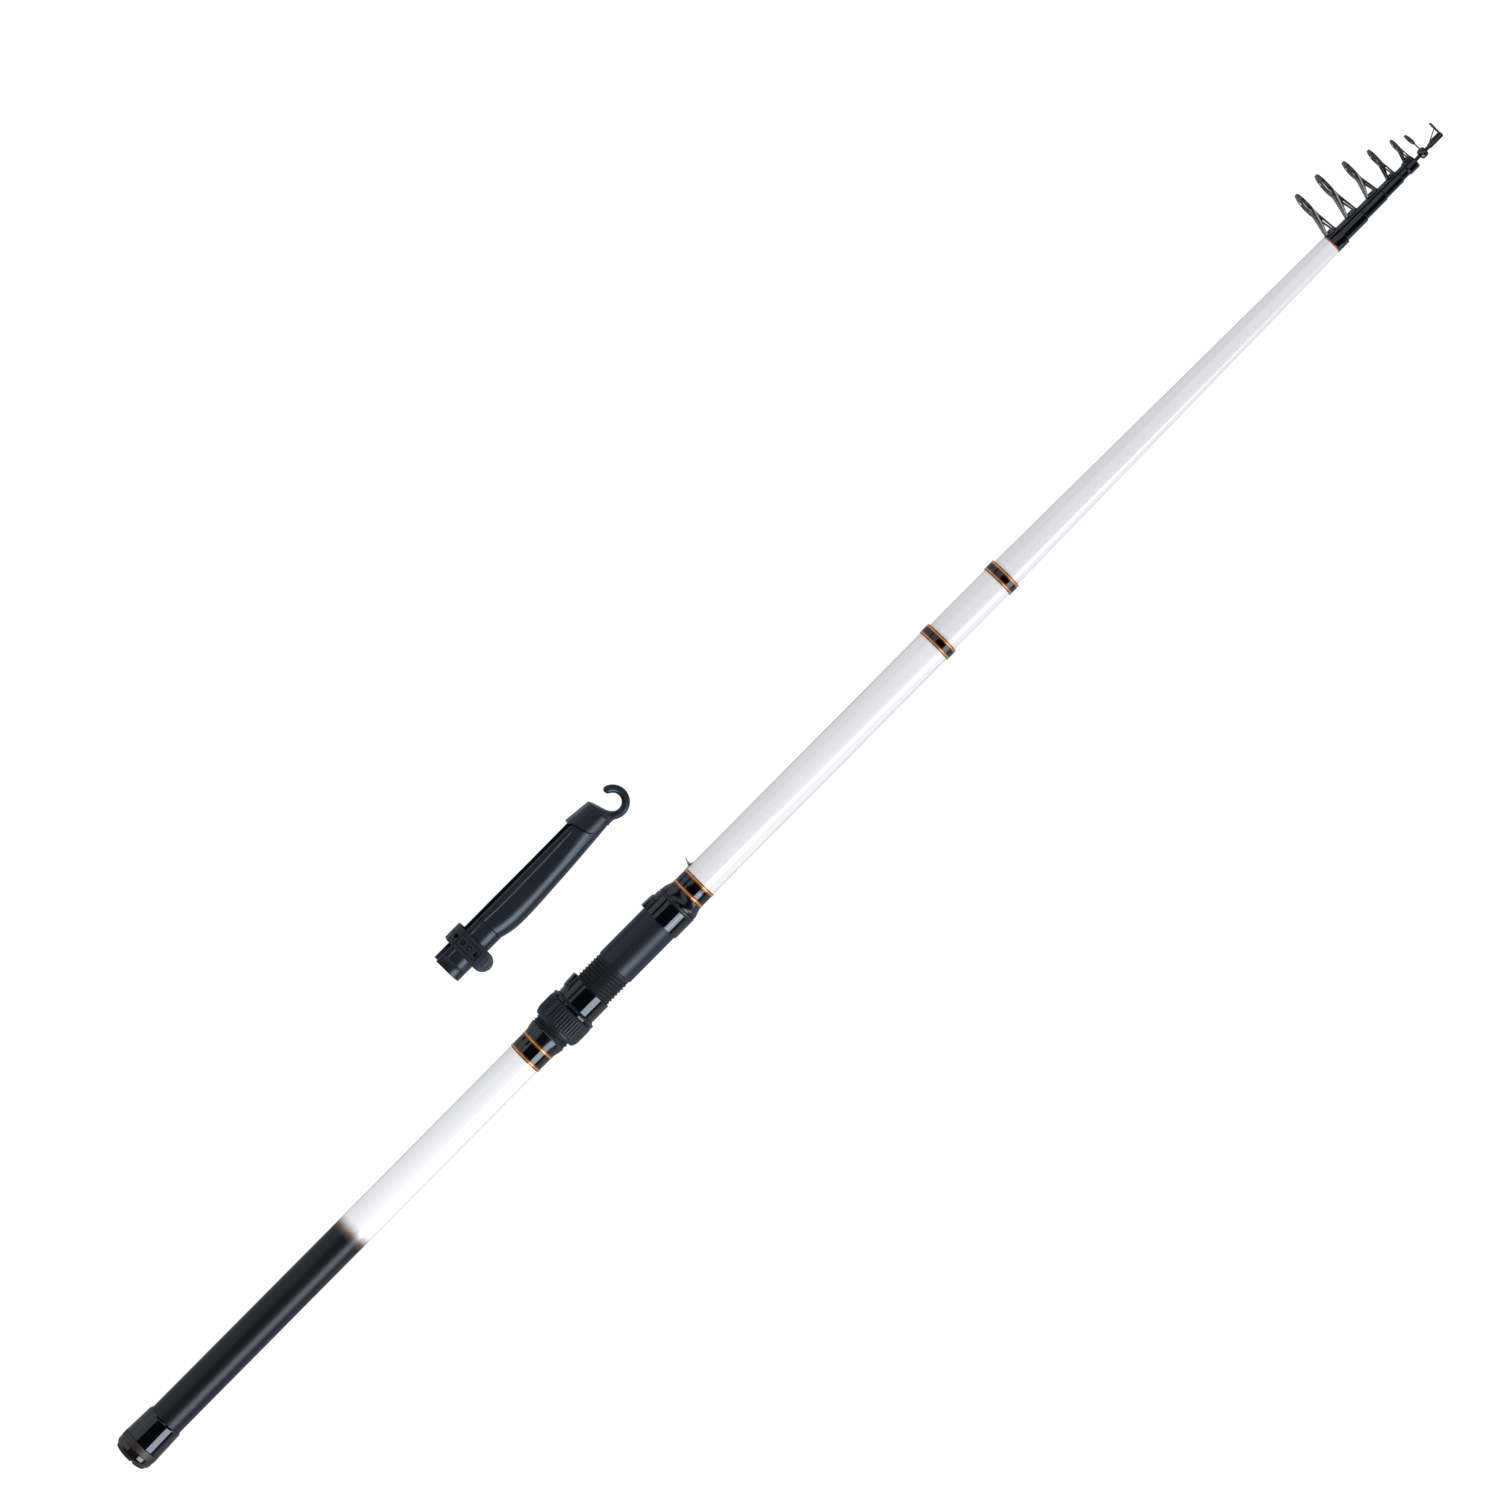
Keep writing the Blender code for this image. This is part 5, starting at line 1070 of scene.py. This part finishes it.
print("tip top")
tipTop = {
    "bore": 0.00174, "outer": 0.00214, "socket": 0.0120, "diameter": 0.0056, "height": 0.0098, "depth": 0.0012,
    "frame": 0.0005, "insert": 0.0005, "wire": 0.0009, "legAngle": 52, "brace": 0.0098, "clip": 0.0005,
    "clipHalfAngle": 60,
}
rear, front = ends("tip_tube")
turned("tipTube", "tip_tube", [
    (rear + tipTop["socket"], 0), (rear + tipTop["socket"], tipTop["bore"]), (rear, tipTop["bore"], 0.0001),
    (rear, tipTop["outer"], 0.0001), (front - 0.0005, tipTop["outer"], 0.0004),
    (front, tipTop["outer"] - 0.0006, 0.0003), (front, 0)], guideFinish, 48)


def makeTipTop():
    low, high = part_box("tip_frame")
    ringX = high.x - tipTop["depth"] / 2
    ringY = rodY + tipTop["height"]
    place = Matrix.Translation((ringX, ringY, rodZ))
    metal, ceramic = makeRing("tipTop", tipTop, place, 48)
    seat = tipTop["outer"] + 0.0003
    clip = saddle("clip", (low.x + high.x) / 2, seat, high.x - low.x, tipTop["clipHalfAngle"], tipTop["clip"])
    angle = radians(tipTop["legAngle"])
    sideZ = tipTop["diameter"] / 2 - tipTop["frame"] / 2
    foot = seat + tipTop["clip"] / 2
    struts = [((ringX, rodY + foot * cos(angle), rodZ + side * foot * sin(angle)),
               (ringX, ringY, rodZ + side * sideZ)) for side in (1, -1)]
    struts.append(((ringX - tipTop["brace"], rodY + seat, rodZ), (ringX, ringY - sideZ, rodZ)))
    wires = []
    for start, end in struts:
        start, end = Vector(start), Vector(end)
        wires.append(wirePiece("leg", [start, (start + end) / 2, end], tipTop["wire"]))
    openRing(wires, tipTop, place, 48)
    settleGuide("tipTop", "tip", [metal, clip, *wires], ceramic)


makeTipTop()


print("cover")
# its own X runs along it from its rear end, +Y out of its mouth and +Z through its near wall
cover = {
    "y": 0.046109, "z": 0.013271, "roll": 11.5, "lean": 12, "wall": 0.0018, "reach": 0.0128, "radius": 0.0120,
    "collarLength": 0.0476, "shellStart": 0.04765, "seam": 0.1470, "seamGap": 0.0008, "lipLength": 0.0085,
    "lineDepth": 0.0039, "lineHeight": 0.00022, "grip": 0.0189, "waist": 0.0604, "edge": 0.0003, "rimEdge": 0.0004,
    "seamLine": [(0.0149, 0.0003), (0.0137, 0.0024), (0.0098, 0.0041), (0.0035, 0.0053), (0.0011, 0.0060),
                 (-0.0033, 0.0082), (-0.0045, 0.0105), (-0.0056, 0.0160), (-0.0072, 0.0205), (-0.0125, 0.0215)],
}
# its hollow inside is painted near black: painted shade
coverFinish = mouldedPaint("coverSlate", (0.0060, 0.0095, 0.0155), (0.0095, 0.0140, 0.0212), 0.33, 1100, 0.10,
                           0.00010, 22, 55, 0.10, "hollow", 0.35, (0.0012, 0.0013, 0.0016), 1.0)
coverLean = radians(cover["lean"])
coverPlace = (Matrix.Translation((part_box("cover_collar")[0].x, cover["y"], cover["z"]))
              @ Matrix.Rotation(radians(cover["roll"]), 4, "X"))
wallSteps = (0.0, 0.0010, 0.0022, 0.0036, 0.0039, 0.0042, 0.0060, 0.0085)
wallReach = 0.0106
arcSteps = 20


def sweepRings(name, rings, hollow=None, smooth=40):
    # one skin over closed rings of points; a ring that falls together closes its end; hollow picks the points that
    # get painted shade
    count, last = len(rings[0]), len(rings) - 1
    pick()
    bpy.ops.mesh.primitive_grid_add(x_subdivisions=count, y_subdivisions=last, size=2)
    piece = bpy.context.object
    piece.name = name
    marks = []
    for vert in piece.data.vertices:
        i = round((vert.co.x + 1) / 2 * count) % count
        j = round((vert.co.y + 1) / 2 * last)
        marks.append(hollow(j, i) if hollow else 0)
        vert.co = rings[j][i]
    mark(piece, "hollow", marks)
    return skin(piece, 2e-7, smooth)


def mirror(points):
    return [(y, -z) for y, z in points]


def seamShift(y):
    # how far forward of its mouth edge the hood's seam lies, at a reach of y
    line = cover["seamLine"]
    for (highY, near), (lowY, far) in zip(line, line[1:]):
        if y > lowY:
            return near + (far - near) * min(max((highY - y) / (highY - lowY), 0), 1)
    return line[-1][1]


def wallPoint(distance, level, radius=cover["radius"], back=0.0):
    # (y, z) a distance along the near wall from the end of the round back, at a level above its face
    out = radius + level
    return Vector((cos(coverLean) * distance + sin(coverLean) * out - back,
                   -sin(coverLean) * distance + cos(coverLean) * out))


def halfWall(radius, back, reach, line=0.0):
    # (y, z) down one wall from its rim, then round to the middle of the round back
    total = (reach + back - radius * sin(coverLean)) / cos(coverLean)
    points = []
    for step in wallSteps:
        level = line if abs(step - cover["lineDepth"]) < 1e-6 else 0
        points.append(tuple(wallPoint(total * (1 - step / wallReach), level, radius, back)))
    start = pi / 2 - coverLean
    for i in range(arcSteps + 1):
        angle = start + (pi - start) * i / arcSteps
        points.append((radius * cos(angle) - back, radius * sin(angle)))
    return points


def wallLoop(x, radius, back, reach, shrink=0.0, line=0.0, groove=0.0, shift=0.0):
    # a closed ring through the U-shaped wall: outer face, far rim, inner face, near rim
    edge = cover["rimEdge"] * (1 - 2 * shrink / cover["wall"])
    low = reach - shrink - edge
    outside, inside = radius - shrink, radius - cover["wall"] + shrink
    inner = halfWall(inside, back, low)
    tops = [halfWall(wide, back, reach - shrink)[0] for wide in (outside - edge, inside + edge)]
    loop = halfWall(outside - groove, back, low, line) + mirror(halfWall(outside - groove, back, low)[-2::-1])
    loop += mirror(tops) + mirror(inner[:-1]) + inner[::-1] + tops[::-1]
    return [coverPlace @ Vector((x + shift * seamShift(y), y, z)) for y, z in loop]


# the wall's inner face, which takes painted shade
def isHollow(j, i):
    side = 2 * (len(wallSteps) + arcSteps) + 1
    return side + 2 <= i < 2 * side + 2


def makeCollar():
    end, line, lip = cover["collarLength"], cover["lineHeight"], cover["lipLength"]
    rows = [
        (0, cover["wall"] / 2, 0, 0), (0, 0.0004, 0, 0), (0.0004, 0, 0, 0), (0.0040, 0, 0, 0),
        (lip - 0.0003, 0, 0, 0), (lip, 0, 0, 0.00018), (lip + 0.0003, 0, line, 0), (0.0200, 0, line, 0),
        (0.0330, 0, line, 0), (end - cover["edge"], 0, line, 0), (end, cover["edge"], line, 0),
        (end, cover["wall"] / 2, 0, 0)]
    return sweepRings("coverCollar", [
        wallLoop(x, cover["radius"], 0, cover["reach"], *rest) for x, *rest in rows], isHollow)


def makeShell():
    start, radius, grip, waist = (cover[name] for name in ("shellStart", "radius", "grip", "waist"))
    length = cover["seam"] - cover["seamGap"] - start
    radii = curveThrough([(0, radius), (grip, radius + 0.00078), (waist, radius), (length, radius)], 8)
    backs = curveThrough([(0, 0.0), (grip, 0.0024), (waist, 0.0016), (length, -0.0026)], 8)
    rows = []
    for (x, wide), (_, back) in zip(radii, backs):
        line = cover["lineHeight"] * (1 - ease(x, length - 0.006, length - 0.002))
        share = max(x - waist, 0) / (length - waist)
        rows.append([start + x, wide, back, cover["reach"], 0.0, line, 0.0, share])
    caps = [([*row[:4], cover["wall"] / 2, 0.0, 0.0, row[7]], [*row[:4], cover["edge"], *row[5:]])
            for row in (rows[0], rows[-1])]
    rows[0][0] += cover["edge"]
    rows[-1][0] -= cover["edge"]
    rows = [*caps[0], *rows, *caps[1][::-1]]
    return sweepRings("coverShell", [wallLoop(*row) for row in rows], isHollow)


# the hood's wall is given at the seam, and what it changes by up to its shoulder
hoodShape = {
    "back": -0.0099, "backRise": 0.0004, "reach": 0.0162, "reachFall": 0.0024, "width": 0.0125,
    "widthFall": 0.0012, "corner": 0.0050, "hollowEnd": 0.0220, "shoulder": 0.0238, "hookX": 0.0364,
    "hookY": 0.0009, "hookInner": 0.0072, "hookOuter": 0.0138, "hookEnd": 66, "hookWidth": 0.0030, "count": 24,
}


def evenly(points, count):
    # count steps of even length along a line of points
    lengths = [0.0]
    for a, b in zip(points, points[1:]):
        lengths.append(lengths[-1] + hypot(b[0] - a[0], b[1] - a[1]))
    spread = []
    k = 0
    for i in range(count + 1):
        aim = lengths[-1] * i / count
        while k < len(points) - 2 and lengths[k + 1] < aim:
            k += 1
        t = (aim - lengths[k]) / max(lengths[k + 1] - lengths[k], 1e-9)
        spread.append(tuple(a + (b - a) * t for a, b in zip(points[k], points[k + 1])))
    return spread


def hoodHalf(halfWidth, back, reach, inset=0.0):
    # (y, z) from the middle of the round back to the middle of the mouth side, through the near wall
    centre = halfWidth - back
    wide = halfWidth - inset
    top = reach - inset
    corner = min(hoodShape["corner"] - inset, wide / 2, (top - centre) / 2)
    start = pi / 2 - coverLean
    points = []
    for i in range(17):
        angle = pi + (start - pi) * i / 16
        points.append((centre + wide * cos(angle), wide * sin(angle)))
    cornerY = top - corner
    cornerZ = (wide - corner - (cornerY - centre) * sin(coverLean)) / cos(coverLean)
    for i in range(9):
        angle = start * (1 - i / 8)
        points.append((cornerY + corner * cos(angle), cornerZ + corner * sin(angle)))
    return evenly(points + [(top, 0)], hoodShape["count"])


def hoodRing(lowX, lowY, highX, highY, halfWidth, roundness=0.0, inset=0.0, shift=0.0):
    # a ring between a point of the lower outline and one of the upper outline
    low, high = Vector((lowX, lowY)), Vector((highX, highY))
    length = (high - low).length
    flat = hoodHalf(halfWidth, -lowY, lowY + length, inset) if roundness < 1 else None
    half = []
    for i in range(hoodShape["count"] + 1):
        angle = pi * (1 - i / hoodShape["count"])
        share = 0.5 + 0.5 * cos(angle)
        z = halfWidth * sin(angle)
        if flat:
            y = (flat[i][0] - lowY) / length
            share = y + (share - y) * roundness
            z = flat[i][1] + (z - flat[i][1]) * roundness
        half.append((share, z))
    ring = []
    for share, z in half + mirror(half[-2:0:-1]):
        point = low + (high - low) * share
        ring.append(coverPlace @ Vector((cover["seam"] + point.x + shift * seamShift(point.y), point.y, z)))
    return ring


def hoodWall(x, inset, shift):
    t = x / hoodShape["shoulder"]
    return hoodRing(x, hoodShape["back"] + hoodShape["backRise"] * t, x,
                    hoodShape["reach"] - hoodShape["reachFall"] * t,
                    hoodShape["width"] - hoodShape["widthFall"] * t, 0, inset, shift)


def hookRing(outer, inner, width, outerAngle, innerAngle):
    points = []
    for radius, angle in ((outer, radians(outerAngle)), (inner, radians(innerAngle))):
        points += [hoodShape["hookX"] + radius * cos(angle), hoodShape["hookY"] + radius * sin(angle)]
    return hoodRing(*points, width, 1)


def makeHood():
    # the closed front of the cover, hollow behind its seam, running out into the line hook
    wall, end = cover["wall"], hoodShape["hollowEnd"]
    inner, outer, width = hoodShape["hookInner"], hoodShape["hookOuter"], hoodShape["hookWidth"]
    rings = [[coverPlace @ Vector((cover["seam"] + end, 0.002, 0))] * (2 * hoodShape["count"])]
    rings += [hoodWall(x, inset, 1 - x / end) for x, inset in (
        (end, wall + 0.003), (end, wall + 0.0008), (end - 0.0010, wall), (end * 0.6, wall), (end * 0.3, wall),
        (0.0003, wall), (0.0, wall - 0.0004))]
    hollowRows = len(rings)
    rings += [hoodWall(x, inset, 1 - x / hoodShape["shoulder"]) for x, inset in (
        (0.0, 0.0004), (0.0004, 0.0), (0.003, 0), (0.006, 0), (0.010, 0), (0.014, 0), (0.018, 0), (0.0212, 0),
        (0.0230, 0))]
    rings += [hoodRing(*row) for row in (
        (0.0236, -0.0095, 0.0237, 0.0134, 0.01125, 0.0), (0.0239, -0.0095, 0.0243, 0.0124, 0.0109, 0.02),
        (0.0242, -0.0095, 0.0249, 0.0112, 0.0102, 0.08), (0.0248, -0.0095, 0.0256, 0.0092, 0.0094, 0.2),
        (0.0255, -0.0095, 0.0266, 0.0062, 0.0085, 0.35), (0.0263, -0.0096, 0.0276, 0.0028, 0.0074, 0.55),
        (0.0272, -0.0098, 0.0288, -0.0004, 0.0062, 0.75), (0.0283, -0.0102, 0.0301, -0.0027, 0.0052, 0.9))]
    rings += [hookRing(outer, inner, *row) for row in (
        (0.0044, -119, -130), (0.0038, -110, -115), (0.0034, -100, -102))]
    for i in range(20):
        angle = -90 + (hoodShape["hookEnd"] + 90) * i / 19
        rings.append(hookRing(outer, inner, width, angle, angle))
    middle, half = (inner + outer) / 2, (outer - inner) / 2
    for lean in (18, 36, 54, 70, 82, 90):
        angle = hoodShape["hookEnd"] + half * sin(radians(lean)) / middle * 180 / pi
        size = max(cos(radians(lean)), 0.0)
        rings.append(hookRing(middle + half * size + 1e-9, middle - half * size, width * size, angle, angle))
    # the hollow behind the seam takes painted shade
    return sweepRings("coverHood", rings, lambda j, i: j < hollowRows, 38)


settle(makeCollar(), "cover_collar", coverFinish)
settle(makeShell(), "cover_shell", coverFinish)
settle(makeHood(), "cover_hood", coverFinish)


print("strap")
strapFinish = mouldedPaint("strapRubber", (0.0085, 0.0125, 0.0190), (0.0130, 0.0180, 0.0255), 0.48, 1300, 0.10)
strap = {
    "x": 0.0252, "width": 0.0158, "thickness": 0.00184, "level": 0.0013, "hinge": 0.0093, "corner": 0.0060,
    "root": 0.0085, "hole": 0.0021, "pitch": 0.0067, "firstHole": 0.0032, "bandHole": 0.0039, "length": 0.0325,
    "endWidth": 0.0172, "flat": 0.0180, "drop": 0.0040, "panel": 0.00455, "panelEnd": 0.0192,
    "panelCorner": 0.0018, "panelGroove": 0.00055, "bandGroove": 0.00025, "gripGroove": 0.0010,
    "grips": ((0.0222, 0.0046), (0.0259, 0.0046), (0.0296, 0.0044)),
}
rimDistance = (cover["reach"] - cover["radius"] * sin(coverLean)) / cos(coverLean)
tabPlace = (coverPlace @ Matrix.Translation((strap["x"], *wallPoint(strap["hinge"], strap["level"])))
            @ Matrix.Rotation(-coverLean, 4, "X"))


def strapLoop(halfWidth, half, notch):
    # a soft-edged rectangle with the panel's two fine grooves in its upper side
    edge = min(0.0004, halfWidth * 0.4)
    soft = half - edge * min(1, half / 0.0005)
    line = min(strap["panel"], halfWidth * 0.55)
    right = [(line - 0.0003, half), (line, half - notch * min(1, half / 0.001)), (line + 0.0003, half),
             (halfWidth - edge, half), (halfWidth, soft), (halfWidth, -soft), (halfWidth - edge, -half)]
    left = [(-x, z) for x, z in reversed(right)]
    return left[3:] + right + left[:3]


def bandPlace(distance):
    # the band's middle (y, z) a distance past the hinge, and its turn from +Z
    straight = rimDistance - strap["hinge"]
    if distance <= straight:
        return wallPoint(strap["hinge"] + distance, strap["level"]), coverLean
    centre = wallPoint(rimDistance, strap["level"] - strap["corner"])
    angle = coverLean + (distance - straight) / strap["corner"]
    past = max(angle - pi / 2, 0) * strap["corner"]
    angle = min(angle, pi / 2)
    return centre + Vector((sin(angle), cos(angle))) * strap["corner"] - Vector((0, past)), angle


def makeBand():
    full = strap["thickness"] / 2
    straight = rimDistance - strap["hinge"]
    bend = strap["corner"] * (pi / 2 - coverLean)
    near = [bandPlace(full + 0.0003)[0]] + [bandPlace(straight + bend * i / 12)[0] for i in range(13)]
    root = wallPoint(rimDistance - strap["root"], strap["level"])
    line = near + [Vector((point.x, -point.y)) for point in (*reversed(near[1:]), root)]
    last = len(line) - 1
    rings = []
    for i, point in enumerate(line):
        along = (line[min(i + 1, last)] - line[max(i - 1, 0)]).normalized()
        out = Vector((-along.y, along.x))
        steps = [(full, 0.0)]
        if i == 0:
            steps = [(1e-6, 0.0), (0.0007, 0.00012), (full, 0.0005)]
        if i == last:
            steps = [(full, -0.0005), (0.0007, -0.00012), (1e-6, 0.0)]
        for half, ahead in steps:
            centre = point + along * ahead
            rings.append([coverPlace @ Vector((strap["x"] + x, *(centre + out * level)))
                          for x, level in strapLoop(strap["width"] / 2, half, strap["bandGroove"])])
    piece = sweepRings("strapBand", rings)
    for i in range(2):
        point, turn = bandPlace(strap["bandHole"] + i * strap["pitch"])
        punch(piece, coverPlace @ Matrix.Translation((strap["x"], *point)) @ Matrix.Rotation(-turn, 4, "X"),
              strap["hole"])
    return piece


def tabFall(distance):
    # how far the tab's end droops
    return -strap["drop"] * (max(distance - strap["flat"], 0) / (strap["length"] - strap["flat"])) ** 2


def makeTab():
    # in the hinge's own frame: Y towards the mouth, Z off the wall
    half, length = strap["thickness"] / 2, strap["length"]
    straight = length - strap["endWidth"] / 2
    rows = [(-half, 1e-6), (-half * 0.92, half * 0.4), (-half * 0.6, half * 0.8), (0.0, half)]
    rows += [(0.0012 + (straight - 0.0012) * i / 12, half) for i in range(13)]
    for angle in (12, 24, 36, 47, 57, 66, 74, 80, 84.5, 88):
        rows.append((straight + strap["endWidth"] / 2 * sin(radians(angle)), half if angle < 84 else half * 0.8))
    rows.append((length, half * 0.35))
    rings = []
    for distance, level in rows:
        wide = (strap["width"] + (strap["endWidth"] - strap["width"]) * max(distance, 0) / length) / 2
        past = max(distance - (length - wide), 0)
        wide = max(wide * wide - past * past, 1e-9) ** 0.5
        rings.append([tabPlace @ Vector((x, -distance, tabFall(distance) + z))
                      for x, z in strapLoop(wide, level, 0)])
    piece = sweepRings("strapTab", rings)
    for i in range(3):
        punch(piece, tabPlace @ Matrix.Translation((0, -strap["firstHole"] - i * strap["pitch"], 0)), strap["hole"])
    width, end, corner = strap["panel"], strap["panelEnd"], strap["panelCorner"]
    side = [(width, 0.0012), (width, -end / 2), (width, -end + corner),
            (width - corner * 0.3, -end + corner * 0.3), (width - corner, -end)]
    outline = [(-x, y) for x, y in side] + [(0, -end)] + side[::-1]
    grooves = [([(x, y, half) for x, y in outline], strap["panelGroove"])]
    for distance, reach in strap["grips"]:
        level = half + tabFall(distance) + 0.0001
        grooves.append(([(x, -distance, level) for x in (-reach, 0, reach)], strap["gripGroove"]))
    for points, thickness in grooves:
        cutAway(piece, wirePiece("groove", [tabPlace @ Vector(point) for point in points], thickness))
    return piece


def makeStud():
    # a ball on a short neck
    seat = wallPoint(strap["hinge"] - strap["firstHole"] - strap["pitch"], 0.0003)
    piece = lathe("strapStud", [
        (0, 0), (0, 0.0016), (0.0007, 0.0013, 0.0003), (0.0010, 0.0013, 0.0003),
        *curveThrough([(0.0014, 0.00155), (0.0021, 0.0016), (0.0027, 0.00125), (0.00296, 0.0006)], 4),
        (0.0030, 0)], 40, 40, (0, 0))
    turn = Matrix.Rotation(-coverLean, 4, "X") @ Matrix.Rotation(-pi / 2, 4, "Y")
    piece.data.transform(coverPlace @ Matrix.Translation((strap["x"], *seat)) @ turn)
    return piece


settle(makeBand(), "strap_band", strapFinish)
settle(makeTab(), "strap_tab", strapFinish)
settle(makeStud(), "strap_stud", coverFinish)


print("finish")
